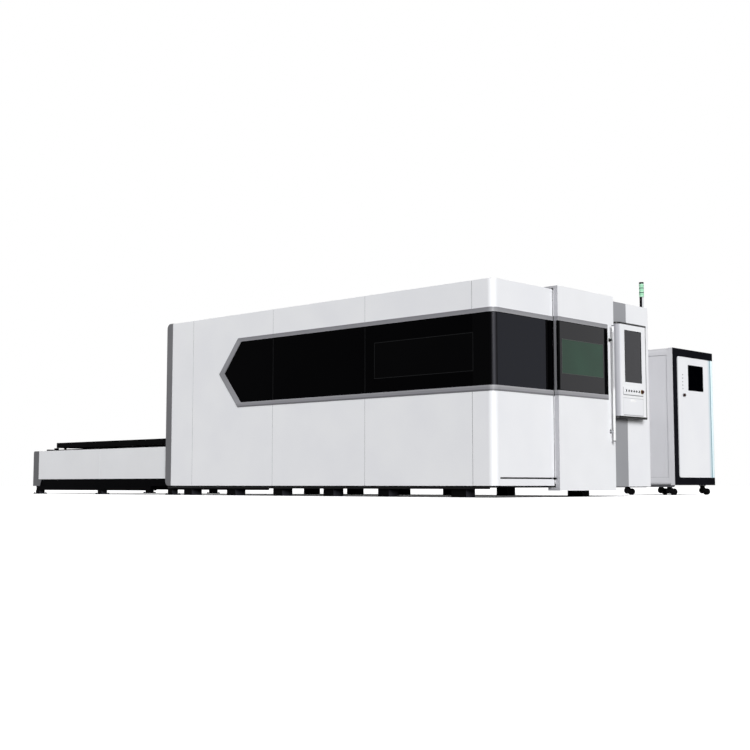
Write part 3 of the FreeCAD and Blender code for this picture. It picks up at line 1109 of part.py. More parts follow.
# ---------------------------------------------------------------- signal tower
def make_tower():
    x = -TOWER_FROM_END
    y = HOUSING_WIDTH - TOWER_FROM_REAR
    z = HOUSING_HEIGHT
    lens_z = z + TOWER_BASE_HEIGHT
    stack = LENS_COUNT * (LENS_HEIGHT + LENS_RING)
    base = rod(TOWER_BASE_RADIUS, TOWER_BASE_HEIGHT, (x, y, z), (0, 0, 1))
    parts = [rod(LENS_CORE_RADIUS, stack + 1.0, (x, y, lens_z - 0.5), (0, 0, 1))]
    lenses = []
    for i in range(LENS_COUNT):
        low = lens_z + i * (LENS_HEIGHT + LENS_RING)
        ring = rod(LENS_RADIUS, LENS_HEIGHT, (x, y, low), (0, 0, 1))
        lenses.append(ring.cut(rod(LENS_CORE_RADIUS, LENS_HEIGHT, (x, y, low), (0, 0, 1))))
        parts.append(rod(LENS_RADIUS - 1.0, LENS_RING, (x, y, low + LENS_HEIGHT), (0, 0, 1)))
    parts.append(rod(LENS_RADIUS, TOWER_CAP, (x, y, lens_z + stack), (0, 0, 1)))
    nodes["signal_tower"] = base.multiFuse(parts).removeSplitter()
    nodes["signal_lenses"] = group(lenses)


# ---------------------------------------------------------------- laser source cabinet
def caster_places():
    xs = (CABINET_FRONT_X - CABINET_FRAME_DEPTH - CASTER_FRONT_INSET, CABINET_REAR_X + CASTER_REAR_INSET)
    ys = (CABINET_LEFT + CASTER_SIDE_INSET, CABINET_RIGHT - CASTER_SIDE_INSET)
    return [(x, y) for x in xs for y in ys]


def caster_socket(x, y):
    """Blind hole in the cabinet's floor that a caster stem turns in."""
    return rod(CASTER_STEM_RADIUS + CASTER_FIT, CASTER_STEM_LENGTH + 2.0, (x, y, CABINET_BOTTOM), (0, 0, 1))


def rounded_door(x0, x1, inset):
    """Door block with two rounded corners on the hinge side."""
    door = block(x0, x1, CABINET_LEFT + CABINET_FRAME_LEFT + inset, CABINET_RIGHT - inset,
                 CABINET_BOTTOM + CABINET_FRAME_BOTTOM + inset, CABINET_TOP - CABINET_FRAME_TOP - inset)
    limit = CABINET_LEFT + CABINET_FRAME_LEFT + inset + 1.0
    rounded = edges_along(door, Vector(1, 0, 0), lambda c: c.y < limit)
    return door.makeFillet(CABINET_FRAME_RADIUS - inset, rounded)


def make_cabinet():
    shell_x1 = CABINET_FRONT_X - CABINET_FRAME_DEPTH
    shell = block(CABINET_REAR_X, shell_x1, CABINET_LEFT, CABINET_RIGHT, CABINET_BOTTOM, CABINET_TOP)
    along = Vector(1, 0, 0)
    shell = shell.makeFillet(CABINET_TOP_ROUNDING, edges_along(shell, along, lambda c: c.z > CABINET_TOP - 1.0))
    shell = shell.makeFillet(CABINET_BOTTOM_ROUNDING, edges_along(shell, along, lambda c: c.z < CABINET_BOTTOM + 1.0))
    x0 = CABINET_REAR_X + CABINET_SIDE_MARGIN
    x1 = CABINET_FRONT_X - CABINET_SIDE_FRONT
    z0 = CABINET_BOTTOM + CABINET_FRAME_BOTTOM
    z1 = CABINET_TOP - CABINET_SIDE_MARGIN
    for y0 in (CABINET_LEFT - 1.0, CABINET_RIGHT - CABINET_SIDE_RECESS):
        shell = shell.cut(block(x0, x1, y0, y0 + CABINET_SIDE_RECESS + 1.0, z0, z1))
    inner_y = CABINET_SIDE_RECESS + SHEET
    floor_z = CABINET_BOTTOM + CASTER_STEM_LENGTH + 2.0 + SHEET
    hollow = block(CABINET_REAR_X + SHEET, shell_x1 - SHEET, CABINET_LEFT + inner_y,
                   CABINET_RIGHT - inner_y, floor_z, CABINET_TOP - SHEET)
    edges = edges_along(hollow, along, lambda c: c.z > CABINET_TOP - SHEET - 1.0)
    shell = shell.cut(hollow.makeFillet(CABINET_TOP_ROUNDING - SHEET, edges))
    for x, y in caster_places():
        shell = shell.cut(caster_socket(x, y))
    nodes["cabinet_body"] = shell

    frame = block(shell_x1, CABINET_FRONT_X, CABINET_LEFT, CABINET_RIGHT, CABINET_BOTTOM, CABINET_TOP)
    gap = block(shell_x1 - 1.0, CABINET_FRONT_X + 1.0, CABINET_LEFT + CABINET_FRAME_LEFT, CABINET_RIGHT + 1.0,
                CABINET_BOTTOM + CABINET_FRAME_BOTTOM, CABINET_TOP - CABINET_FRAME_TOP)
    rounded = edges_along(gap, Vector(1, 0, 0), lambda c: c.y < CABINET_LEFT + CABINET_FRAME_LEFT + 1.0)
    gap = gap.makeFillet(CABINET_FRAME_RADIUS, rounded)
    frame = frame.cut(gap)
    nodes["cabinet_front_frame"] = frame

    face = CABINET_FRONT_X - CABINET_DOOR_SETBACK
    door = rounded_door(shell_x1, face, 0.0)
    door = door.cut(rounded_door(shell_x1 - 1.0, face - CABINET_DOOR_THICKNESS, SHEET))
    dy0 = CABINET_LEFT + DISPLAY_FROM_LEFT
    dz1 = DISPLAY_BOTTOM + DISPLAY_HEIGHT
    door = door.cut(block(face - DISPLAY_POCKET, face + 1.0, dy0, dy0 + DISPLAY_WIDTH, DISPLAY_BOTTOM, dz1))
    nodes["cabinet_display"] = block(face - DISPLAY_POCKET, face - DISPLAY_POCKET + DISPLAY_THICKNESS,
                                     dy0, dy0 + DISPLAY_WIDTH, DISPLAY_BOTTOM, dz1)
    hole_depth = BUTTON_STEM + BUTTON_TRAVEL + 4.0
    stop_y = CABINET_LEFT + CABINET_STOP_FROM_LEFT
    door = door.cut(rod(BUTTON_RADIUS + BUTTON_CLEARANCE, hole_depth + 1.0,
                        (face - hole_depth, stop_y, CABINET_STOP_Z), (1, 0, 0)))
    nodes["cabinet_front_panel"] = door
    nodes["cabinet_stop_button"] = stop_button(face, stop_y, CABINET_STOP_Z)


def make_casters():
    for i, (x, y) in enumerate(caster_places()):
        axle_x = x + CASTER_TRAIL
        axle_z = CASTER_WHEEL_RADIUS
        half = CASTER_WHEEL_WIDTH / 2.0
        wheel = rod(CASTER_WHEEL_RADIUS, CASTER_WHEEL_WIDTH, (axle_x, y - half, axle_z), (0, 1, 0))
        wheel = wheel.makeChamfer(CASTER_TREAD_BEVEL, round_edges(wheel))
        wheel = wheel.cut(rod(CASTER_AXLE_RADIUS + CASTER_FIT, CASTER_WHEEL_WIDTH + 2.0,
                              (axle_x, y - half - 1.0, axle_z), (0, 1, 0)))
        nodes["caster_wheel_%d" % (i + 1)] = wheel
        head_z1 = CABINET_BOTTOM - CASTER_SWIVEL_GAP
        head = rod(CASTER_HEAD_RADIUS, CASTER_HEAD_THICKNESS, (x, y, head_z1 - CASTER_HEAD_THICKNESS), (0, 0, 1))
        cheek_y = half + CASTER_FORK_GAP
        outer_y = cheek_y + CASTER_FORK_WALL
        hood = rod(CASTER_HOOD_RADIUS, 2.0 * outer_y, (x, y - outer_y, CASTER_HOOD_Z), (0, 1, 0))
        hood = hood.makeFillet(CASTER_FORK_WALL / 2.0, round_edges(hood))
        pocket = rod(CASTER_WHEEL_RADIUS + CASTER_FORK_GAP, 2.0 * cheek_y, (axle_x, y - cheek_y, axle_z), (0, 1, 0))
        neck_z = CASTER_HOOD_Z + CASTER_HOOD_RADIUS / 2.0
        parts = [hood, rod(CASTER_NECK_RADIUS, head_z1 - 1.0 - neck_z, (x, y, neck_z), (0, 0, 1))]
        for side in (y - outer_y, y + cheek_y):
            parts.append(polygon_prism(
                [
                    (x + CASTER_HOOD_RADIUS / 2.0, side, CASTER_HOOD_Z + CASTER_HOOD_RADIUS * 0.8),
                    (axle_x + CASTER_BOSS_RADIUS * 0.6, side, axle_z + CASTER_BOSS_RADIUS * 0.8),
                    (axle_x - CASTER_BOSS_RADIUS * 0.6, side, axle_z - CASTER_BOSS_RADIUS * 0.8),
                    (x, side, CASTER_HOOD_Z - CASTER_HOOD_RADIUS * 0.9),
                ],
                (0, CASTER_FORK_WALL, 0),
            ))
            parts.append(rod(CASTER_BOSS_RADIUS, CASTER_FORK_WALL, (axle_x, side, axle_z), (0, 1, 0)))
        fork = head.multiFuse(parts).cut(pocket)
        stem = rod(CASTER_STEM_RADIUS, CASTER_STEM_LENGTH, (x, y, head_z1 - 1.0), (0, 0, 1))
        axle = rod(CASTER_AXLE_RADIUS, 2.0 * outer_y, (axle_x, y - outer_y, axle_z), (0, 1, 0))
        nodes["caster_fork_%d" % (i + 1)] = fork.multiFuse([stem, axle]).removeSplitter()


# ---------------------------------------------------------------- build and write
def build():
    make_housing_frame()
    make_portal()
    make_side_panels()
    make_window_band()
    make_roof_and_rear()
    make_end_panels()
    make_end_door()
    make_door_tracks()
    make_bed()
    make_feet()
    make_gantry()
    make_carriage()
    make_pallets()
    make_pallet_rails()
    make_table()
    make_pallet_drive()
    make_console()
    make_buttons()
    make_tower()
    make_cabinet()
    make_casters()


def write():
    """Centre the footprint on the origin and write one file for each piece."""
    handle_x = DOOR_FACE_X + HANDLE_STANDOFF + HANDLE_DEPTH
    centre_x = (TABLE_LEFT + handle_x) / 2.0
    centre_y = (-BAND_FRAME_PROUD + CABINET_RIGHT) / 2.0
    os.makedirs("parts", exist_ok=True)
    for name, shape in nodes.items():
        shape.translate(Vector(-centre_x, -centre_y, 0.0))
        shape.exportStep("parts/%s.step" % name)
    print("%d pieces, centre %.3f %.3f" % (len(nodes), centre_x, centre_y))


build()
write()
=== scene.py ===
import bmesh
import bpy
import math

from mathutils import Matrix, Vector


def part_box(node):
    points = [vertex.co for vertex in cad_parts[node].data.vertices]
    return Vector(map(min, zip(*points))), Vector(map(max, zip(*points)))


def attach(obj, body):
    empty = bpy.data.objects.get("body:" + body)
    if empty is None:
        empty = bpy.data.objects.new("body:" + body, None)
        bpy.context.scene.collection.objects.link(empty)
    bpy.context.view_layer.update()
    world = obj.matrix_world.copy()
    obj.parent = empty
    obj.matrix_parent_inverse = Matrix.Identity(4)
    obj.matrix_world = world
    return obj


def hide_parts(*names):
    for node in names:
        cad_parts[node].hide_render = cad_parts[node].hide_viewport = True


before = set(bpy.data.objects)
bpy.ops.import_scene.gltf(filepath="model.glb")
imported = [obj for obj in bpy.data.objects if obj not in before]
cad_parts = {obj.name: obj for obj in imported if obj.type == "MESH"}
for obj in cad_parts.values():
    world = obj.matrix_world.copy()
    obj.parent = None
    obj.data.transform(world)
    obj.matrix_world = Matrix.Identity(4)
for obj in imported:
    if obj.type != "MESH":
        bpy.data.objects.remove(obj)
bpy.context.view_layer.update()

# Places are given in the machine's own millimetres: x 0 is the end wall with the door, y 0 the
# long side with the window band, z 0 the floor. The part's origin lies at this point of them.
ORIGIN_X = -4219.0
ORIGIN_Y = 2537.0

# places that the CAD nodes give
WALL_END = -5318.0
HOUSING_TOP = 2200.0
PANEL_BOTTOM = 118.0
BAND_TOP = 1907.0
BAND_BOTTOM = 1065.0
GLASS_TOP = 1861.0
GLASS_BOTTOM = 1121.0
NARROW_SEAM, *BAY_SEAMS, CORNER_SEAM = (-4780.0, -3278.3, -1776.7, -275.0)
REAR_WALL = 2973.0
TABLE_LEFT = -8566.0
TABLE_FEET = (TABLE_LEFT + 86.0, (TABLE_LEFT + 16.0 + WALL_END - 70.0) / 2.0 + 70.0, WALL_END)
TABLE_FEET_Y = (120.0, 2080.0)
FOOT_BOLT_REACH = 57.5
DOOR_LEFT = 1026.0
DOOR_RIGHT = 2110.0
DOOR_FACE = 66.0
DOOR_FLANGE_TOP = 2237.5
LASER_WINDOW = (1102.0, 1886.0, 1309.0, 1666.0)
CONSOLE_LEFT = 2125.0
CONSOLE_RIGHT = 2745.0
CONSOLE_FACE = 110.0
CONSOLE_TOP = 1940.0
CONSOLE_BOTTOM = 890.0
CONSOLE_CAP = 7.0
CONTROLS_Z = 1184.0
BUTTON_LEFT = CONSOLE_LEFT + 152.0
BUTTON_PITCH = 53.5
STOP_Y = CONSOLE_LEFT + 485.0
BUTTON_HOLE = 11.6
FLAP_LEFT = CONSOLE_LEFT + 93.0
FLAP_RIGHT = FLAP_LEFT + 425.0
FLAP_BOTTOM = 914.0
FLAP_TOP = 1102.0
GRIP_LEFT = FLAP_LEFT + 163.5
GRIP_RIGHT = GRIP_LEFT + 98.0
GRIP_BOTTOM = 1067.0
GRIP_TOP = 1085.0
TOWER_X = -45.0
TOWER_Y = 2910.0
LENS_LOW = 2333.0
LENS_HIGH = 2487.5
CABINET_LEFT = 4047.0
CABINET_RIGHT = 5080.0
CABINET_FACE = -304.0
CABINET_REAR = -1100.0
CABINET_TOP = 1850.0
CABINET_BOTTOM = 124.0
STRIP_LEFT = 5016.0
STRIP_MIDDLE = 5025.0
STRIP_BOTTOM = 223.0
STRIP_TOP = 1750.0
CASTER_STEM_INSET = 36.0

# sizes of the pieces that only this script makes
BAND_STRIP = 2.0
BAND_STRIP_LENGTH = 960.0
DOOR_WRAP = 54.0
WRAP_GLASS = 22.0
GASKET_FRONT = 0.6
GASKET_BACK = 6.0
SKIRT_ROUNDING = 1.5
LOUVRE_RISE = 34.0
CABINET_LOUVRE_RISE = 28.0
KEY_SIZE = 17.0
KEY_PITCH = 22.6
KEY_ROWS = 6
KEY_COLUMNS = 16
CASTER_WHEEL = (41.8, 18.0)
CASTER_WHEEL_OFFSET = 12.5
CASTER_ROOM = (44.0, 46.0)
CASTER_HOOD = (41.0, 60.0)
CASTER_HOOD_Z = 57.0
CASTER_NECK = (31.0, 32.0)
CASTER_NECK_Z = 102.0
CASTER_PLATE = (42.0, 8.0)
CASTER_PLATE_Z = 119.4
CASTER_PIN = (6.0, 66.0)
CASTER_ARM_OFFSET = 28.0
CASTER_ARM = 2.5

# light, floor and camera; the camera was fitted to the photograph's edges
FILL_STRENGTH = 0.2
FLOOR_SIZE = 120.0
FLOOR_LIFT = 0.58
FLOOR_SHADE_REACH = 2.4
FLOOR_SHADE_FROM = 0.15
FLOOR_SHADE_TO = 0.45
CAMERA_PLACE = (11.6338, -12.1473, 0.1239)
CAMERA_TILT = 95.1647
CAMERA_TURN = 43.2395
CAMERA_LENS = 58.514


def at(x, y, z):
    """A place in the machine's millimetres, in the part's metres."""
    return Vector(((x - ORIGIN_X) / 1000.0, (y - ORIGIN_Y) / 1000.0, z / 1000.0))


def in_mm(place):
    """A place of the part in the machine's millimetres."""
    return Vector((place.x * 1000.0 + ORIGIN_X, place.y * 1000.0 + ORIGIN_Y, place.z * 1000.0))


def mm(length):
    return length / 1000.0


# ---------------------------------------------------------------- materials
def srgb(code):
    """An sRGB hex colour as linear red, green, blue and alpha."""
    parts = []
    for i in (0, 2, 4):
        value = int(code[i:i + 2], 16) / 255.0
        parts.append(value / 12.92 if value <= 0.04045 else ((value + 0.055) / 1.055) ** 2.4)
    return (parts[0], parts[1], parts[2], 1.0)


def per_metre(size_mm):
    """Scale of a texture whose features are this many millimetres apart."""
    return 1000.0 / size_mm


def add_node(material, kind, inputs=None, ramp=None, **settings):
    """Add one shader node with its settings, its numbers or links, and the stops of its colour ramp.
    A node given as an input is linked from its first output in use."""
    made = material.node_tree.nodes.new("ShaderNode" + kind)
    for field, value in settings.items():
        setattr(made, field, value)
    for key, value in (inputs or {}).items():
        if isinstance(value, bpy.types.Node):
            value = next(output for output in value.outputs if output.enabled)
        if isinstance(value, bpy.types.NodeSocket):
            material.node_tree.links.new(value, made.inputs[key])
        else:
            made.inputs[key].default_value = value
    if ramp:
        stops = made.color_ramp.elements
        stops[0].position, stops[0].color = ramp[0][0], srgb(ramp[0][1])
        stops[1].position, stops[1].color = ramp[-1][0], srgb(ramp[-1][1])
        for position, code in ramp[1:-1]:
            stops.new(position).color = srgb(code)
    return made


def start_material(name):
    """A material with no nodes but the coordinates; gives back its place on the object as well."""
    material = bpy.data.materials.new(name)
    material.use_nodes = True
    material.node_tree.nodes.clear()
    return material, add_node(material, "TexCoord").outputs["Object"]


def finish_material(material, colour, grain, gloss, crests, relief, **others):
    """Shader and output of a material: its roughness runs between two values with the grain, and the
    crests stand out by a relief in millimetres. The others are further sockets of the shader."""
    shine = add_node(material, "MapRange", {"Value": grain, "To Min": gloss[0], "To Max": gloss[1]})
    bump = add_node(material, "Bump", {"Height": crests, "Distance": mm(relief)})
    sockets = {"metallic": "Metallic", "specular": "Specular IOR Level", "glow": "Emission Color",
               "glow_strength": "Emission Strength"}
    shader = add_node(material, "BsdfPrincipled", {
        "Base Color": colour, "Roughness": shine, "Normal": bump,
        **{sockets[key]: value for key, value in others.items()}})
    add_node(material, "OutputMaterial", {"Surface": shader})
    return material


def facing(material, axis):
    """How far the surface looks along an axis of the object, from -1 to 1."""
    normal = add_node(material, "TexCoord").outputs["Normal"]
    return add_node(material, "SeparateXYZ", {"Vector": normal}).outputs[axis]


def drifting_tone(material, place, size, dark, light, stops=(0.35, 0.65), detail=2.0):
    """A colour that drifts between two tones over so many millimetres."""
    drift = add_node(material, "TexNoise", {"Vector": place, "Scale": per_metre(size), "Detail": detail})
    return add_node(material, "ValToRGB", {"Fac": drift}, ramp=[(stops[0], dark), (stops[1], light)])


def beyond(material, value, low, high):
    """One where a value lies outside two limits, zero between them."""
    below = add_node(material, "Math", {0: value, 1: low}, operation="LESS_THAN")
    above = add_node(material, "Math", {0: value, 1: high}, operation="GREATER_THAN")
    return add_node(material, "Math", {0: above, 1: below}, operation="MAXIMUM")


def band_height(material, place):
    """Share of the window band's height: 0 at its lower edge and 1 at its upper edge."""
    height = add_node(material, "SeparateXYZ", {"Vector": place}).outputs["Z"]
    return add_node(material, "MapRange", {
        "Value": height, "From Min": mm(BAND_BOTTOM), "From Max": mm(BAND_TOP)})


def bake(material, place, colour, gloss=(0.36, 0.44), specular=0.5):
    """Surface of baked powder coat under a colour: a satin gloss that isn't quite the same all over
    and a faint orange peel. Real peel is about 2 mm from crest to crest; it is drawn 14 mm apart so
    that it shows at this size."""
    cloud = add_node(material, "TexNoise", {"Vector": place, "Scale": per_metre(240.0), "Detail": 3.0})
    peel = add_node(material, "TexNoise", {"Vector": place, "Scale": per_metre(14.0), "Detail": 1.0})
    return finish_material(material, colour, cloud, gloss, peel, 0.03, specular=specular)


def powder_coat(name, light, dark, gloss=(0.36, 0.44), specular=0.5):
    """Baked powder coat on sheet steel in one colour, whose tone drifts a little over half a metre."""
    material, place = start_material(name)
    return bake(material, place, drifting_tone(material, place, 620.0, dark, light), gloss, specular)


def door_coat():
    """White powder coat of the sliding door, with painted shade: its folded left edge, which looks towards
    the long side, is painted grey as if in shadow.
    """
    material, place = start_material("door_powder_coat")
    white = drifting_tone(material, place, 620.0, "E8E9EC", "ECEDF0")
    # painted shade: faces that look towards the long side are painted grey
    edge = add_node(material, "Math", {0: facing(material, "Y"), 1: -0.9}, operation="LESS_THAN")
    colour = add_node(material, "Mix", {"Factor": edge, 6: white, 7: srgb("A8A8AD")}, data_type="RGBA")
    return bake(material, place, colour)


def bar_coat():
    """Gloss white of the pull bar, with a painted reflection: grey over the height of the window band, where
    it would mirror the dark glass behind it.
    """
    material, place = start_material("handle_white_coat")
    # painted reflection of the dark window band, grey between its lower and upper glass edges
    tone = add_node(material, "ValToRGB", {"Fac": band_height(material, place)}, ramp=[
        (0.0, "F2F3F4"), (0.12, "F2F3F4"), (0.18, "C2C3C6"), (0.88, "BEBFC2"), (0.94, "EDEEF0"),
        (1.0, "EDEEF0")])
    return bake(material, place, tone, (0.2, 0.28))


def console_coat():
    """Coat of the console: white on the face, with painted shade fading it to grey round the left
    corner, which looks towards the long side, and black on the end caps and their lips above and below."""
    material, place = start_material("console_powder_coat")
    white = drifting_tone(material, place, 400.0, "EBECEF", "EFF0F2")
    # painted shade: grey on the faces of the left corner that look towards the long side, fading to white on
    # the face
    share = add_node(material, "MapRange", {
        "Value": facing(material, "Y"), "From Min": -1.0, "From Max": 0.0})
    painted_corner_shade = add_node(material, "ValToRGB", {"Fac": share}, ramp=[
        (0.0, "8A8A8F"), (0.25, "97979C"), (0.5, "BFBFC3"), (0.72, "EEEEF0"), (1.0, "FFFFFF")])
    both = add_node(material, "Mix", {"Factor": 1.0, 6: white, 7: painted_corner_shade},
                    data_type="RGBA", blend_type="MULTIPLY")
    height = add_node(material, "SeparateXYZ", {"Vector": place}).outputs["Z"]
    caps = beyond(material, height, mm(CONSOLE_BOTTOM + CONSOLE_CAP), mm(CONSOLE_TOP - CONSOLE_CAP))
    colour = add_node(material, "Mix", {"Factor": caps, 6: both, 7: srgb("060607")}, data_type="RGBA")
    return bake(material, place, colour, specular=0.3)


def front_frame_coat():
    """Coat of the cabinet's front frame: black on the face, cabinet grey on its outer sides."""
    material, place = start_material("front_frame_powder_coat")
    grey = drifting_tone(material, place, 420.0, "C2C2C6", "C6C6CA")
    black = drifting_tone(material, place, 420.0, "131317", "17171C")
    spot = add_node(material, "SeparateXYZ", {"Vector": place})
    left = at(0.0, CABINET_LEFT + 2.0, 0.0).y
    beside = add_node(material, "Math", {0: spot.outputs["Y"], 1: left}, operation="LESS_THAN")
    ends = beyond(material, spot.outputs["Z"], mm(CABINET_BOTTOM + 2.0), mm(CABINET_TOP - 2.0))
    outside = add_node(material, "Math", {0: beside, 1: ends}, operation="MAXIMUM")
    sideways = add_node(material, "Math", {0: facing(material, "X"), 1: 0.5}, operation="LESS_THAN")
    share = add_node(material, "Math", {0: outside, 1: sideways}, operation="MULTIPLY")
    colour = add_node(material, "Mix", {"Factor": share, 6: black, 7: grey}, data_type="RGBA")
    return bake(material, place, colour, specular=0.0)


def cabinet_front_coat():
    """White coat of the cabinet's front, with a painted shadow just inside the black frame, and a
    painted glow beside the light strip that tints the white with the strip's blue light."""
    material, place = start_material("cabinet_front_powder_coat")
    white = drifting_tone(material, place, 620.0, "E8E9ED", "ECEDF0")
    across = add_node(material, "SeparateXYZ", {"Vector": place}).outputs["Y"]
    # painted shadow cast by the black frame onto the panel just inside it
    dull = add_node(material, "MapRange", {
        "Value": across, "From Min": at(0.0, CABINET_LEFT + 110.0, 0.0).y,
        "From Max": at(0.0, CABINET_LEFT + 152.0, 0.0).y})
    shade = add_node(material, "ValToRGB", {"Fac": dull}, ramp=[(0.0, "A0A0A4"), (1.0, "FFFFFF")])
    both = add_node(material, "Mix", {"Factor": 1.0, 6: white, 7: shade},
                    data_type="RGBA", blend_type="MULTIPLY")
    # painted glow: the light strip's blue light painted onto the white beside it
    painted_glow_share = add_node(material, "MapRange", {
        "Value": across, "From Min": at(0.0, STRIP_LEFT - 70.0, 0.0).y,
        "From Max": at(0.0, STRIP_LEFT - 4.0, 0.0).y})
    colour = add_node(material, "Mix", {"Factor": painted_glow_share, 6: both, 7: srgb("B2C8D2")}, data_type="RGBA")
    return bake(material, place, colour)


def band_extrusion():
    """Anodised frame of the window band: mid grey, with a painted highlight along the glass and
    painted shade in the groove along the lower edge; painted shade also makes it darker on the long side than
    on the end."""
    material, place = start_material("band_frame_anodised")
    share = 1.0 / (BAND_TOP - BAND_BOTTOM)
    # painted highlight and shade of the extrusion's profile, laid out along the band's height
    tone = add_node(material, "ValToRGB", {"Fac": band_height(material, place)}, ramp=[
        (0.0, "727276"), (15.0 * share, "76767A"), (18.0 * share, "949498"), (38.0 * share, "929296"),
        (44.0 * share, "A0A0A4"), (0.5, "909094"), (1.0 - 42.0 * share, "9A9A9E"),
        (1.0 - 32.0 * share, "919195"), (1.0 - 8.0 * share, "8B8B8F"), (1.0, "86868A")])
    # painted shade: faces that look towards the long side are darker
    side = add_node(material, "Math", {0: facing(material, "Y"), 1: -0.95}, operation="LESS_THAN")
    dark = add_node(material, "Mix", {
        "Factor": side, 6: srgb("FFFFFF"), 7: srgb("EEEEF0")}, data_type="RGBA")
    colour = add_node(material, "Mix", {"Factor": 1.0, 6: tone, 7: dark},
                      data_type="RGBA", blend_type="MULTIPLY")
    return bake(material, place, colour, (0.3, 0.38), 0.2)


def foot_coat():
    """Black paint of the feet, with painted light: dark grey on the faces that look along the machine towards
    the end wall, their lit side.
    """
    material, place = start_material("foot_black_paint")
    black = drifting_tone(material, place, 180.0, "050506", "09090A")
    # painted light on the lit side of the feet
    share = add_node(material, "Math", {0: facing(material, "X"), 1: 0.9}, operation="GREATER_THAN")
    colour = add_node(material, "Mix", {"Factor": share, 6: black, 7: srgb("2C2C31")}, data_type="RGBA")
    return bake(material, place, colour, (0.45, 0.6), 0.02)


def grained(name, size, dark, light, gloss, relief, stretch=(1.0, 1.0, 1.0), turn=0.0, detail=4.0,
            harshness=0.5, stops=(0.3, 0.7), **others):
    """A surface whose colour, gloss and relief all follow one grain, so many millimetres apart. It is
    drawn out along an axis where the real one is brushed, ground, wiped or made of hair. Real grain
    is finer than most of these sizes, which are as coarse as it takes to show."""
    material, place = start_material(name)
    laid = add_node(material, "Mapping", {
        "Vector": place, "Rotation": (math.radians(turn), 0.0, 0.0), "Scale": stretch})
    grain = add_node(material, "TexNoise", {
        "Vector": laid, "Scale": per_metre(size), "Detail": detail, "Roughness": harshness})
    colour = add_node(material, "ValToRGB", {"Fac": grain}, ramp=[(stops[0], dark), (stops[1], light)])
    return finish_material(material, colour, grain, gloss, grain, relief, **others)


def tower_plastic():
    """Plastic of the signal tower's core: black tube and cap, smoky green rings between the lenses.
    Where the chrome shell leaves the tube bare, its black is a painted dark reflection of the chrome.
    """
    material, place = start_material("tower_plastic")
    grain = add_node(material, "TexNoise", {"Vector": place, "Scale": per_metre(5.0)})
    # the tube's black, where the chrome shell leaves it bare, is a painted dark reflection
    black = add_node(material, "ValToRGB", {"Fac": grain}, ramp=[(0.3, "0C0C0D"), (0.7, "141416")])
    green = add_node(material, "ValToRGB", {"Fac": grain}, ramp=[(0.3, "4C7C6A"), (0.7, "588B76")])
    height = add_node(material, "SeparateXYZ", {"Vector": place}).outputs["Z"]
    ends = beyond(material, height, mm(LENS_LOW + 1.0), mm(LENS_HIGH - 1.0))
    colour = add_node(material, "Mix", {"Factor": ends, 6: green, 7: black}, data_type="RGBA")
    return finish_material(material, colour, grain, (0.35, 0.5), grain, 0.03, specular=0.05)


def lit_acrylic(name, light, dark, glow_strength):
    """Frosted acrylic of the cabinet's light strip, pale cyan, with a weak glow from inside."""
    material, place = start_material(name)
    colour = drifting_tone(material, place, 180.0, dark, light, (0.3, 0.7))
    frost = add_node(material, "TexNoise", {"Vector": place, "Scale": per_metre(40.0), "Detail": 3.0})
    return finish_material(material, colour, frost, (0.4, 0.52), frost, 0.02, glow=colour,
                           glow_strength=glow_strength)


def sheet_of_glass(material, place, colour, specular, roughness=0.05, wave=0.25):
    """Surface of a large sheet of glass or acrylic: a sharp reflection of the room that is slightly
    wavy, and dust that dulls it in places."""
    dust = add_node(material, "TexNoise", {
        "Vector": place, "Scale": per_metre(160.0), "Detail": 4.0, "Roughness": 0.65})
    swell = add_node(material, "TexNoise", {"Vector": place, "Scale": per_metre(420.0), "Detail": 1.0})
    return finish_material(material, colour, dust, (roughness, roughness + 0.05), swell, wave,
                           specular=specular)


def tinted_sheet(name, light, dark, specular):
    """Tinted acrylic or glass in front of a dark inside: a deep, almost even colour."""
    material, place = start_material(name)
    colour = drifting_tone(material, place, 900.0, dark, light, (0.3, 0.7), 1.0)
    return sheet_of_glass(material, place, colour, specular)


def bent_glass():
    """Tinted pane bent round the corner: black along the side, a painted highlight as a pale band
    down the bend, and dark grey over the end."""
    material, place = start_material("bent_tinted_glass")
    share = add_node(material, "MapRange", {
        "Value": facing(material, "Y"), "From Min": -1.0, "From Max": 0.0})
    # painted highlight: the pale stops in the middle of the bend
    colour = add_node(material, "ValToRGB", {"Fac": share}, ramp=[
        (0.0, "030304"), (0.12, "08080A"), (0.38, "47474C"), (0.6, "323236"), (0.86, "101012"),
        (0.96, "242529"), (1.0, "28292E")])
    return sheet_of_glass(material, place, colour, 0.015)


def laser_safety_glass():
    """Green laser protection glass: a saturated deep green, dark where nothing lies behind it."""
    material, place = start_material("laser_safety_glass")
    colour = drifting_tone(material, place, 500.0, "133626", "1A4230", (0.3, 0.7), 1.0)
    return sheet_of_glass(material, place, colour, 0.25, 0.04, 0.15)


def cast_aluminium():
    """Blasted aluminium casting: light grey, matt, with a sandy surface."""
    material, place = start_material("blasted_aluminium")
    colour = drifting_tone(material, place, 300.0, "8F9194", "A5A7AA", (0.3, 0.7), 3.0)
    grain = add_node(material, "TexNoise", {
        "Vector": place, "Scale": per_metre(6.0), "Detail": 4.0, "Roughness": 0.7})
    return finish_material(material, colour, grain, (0.42, 0.58), grain, 0.12, metallic=1.0)


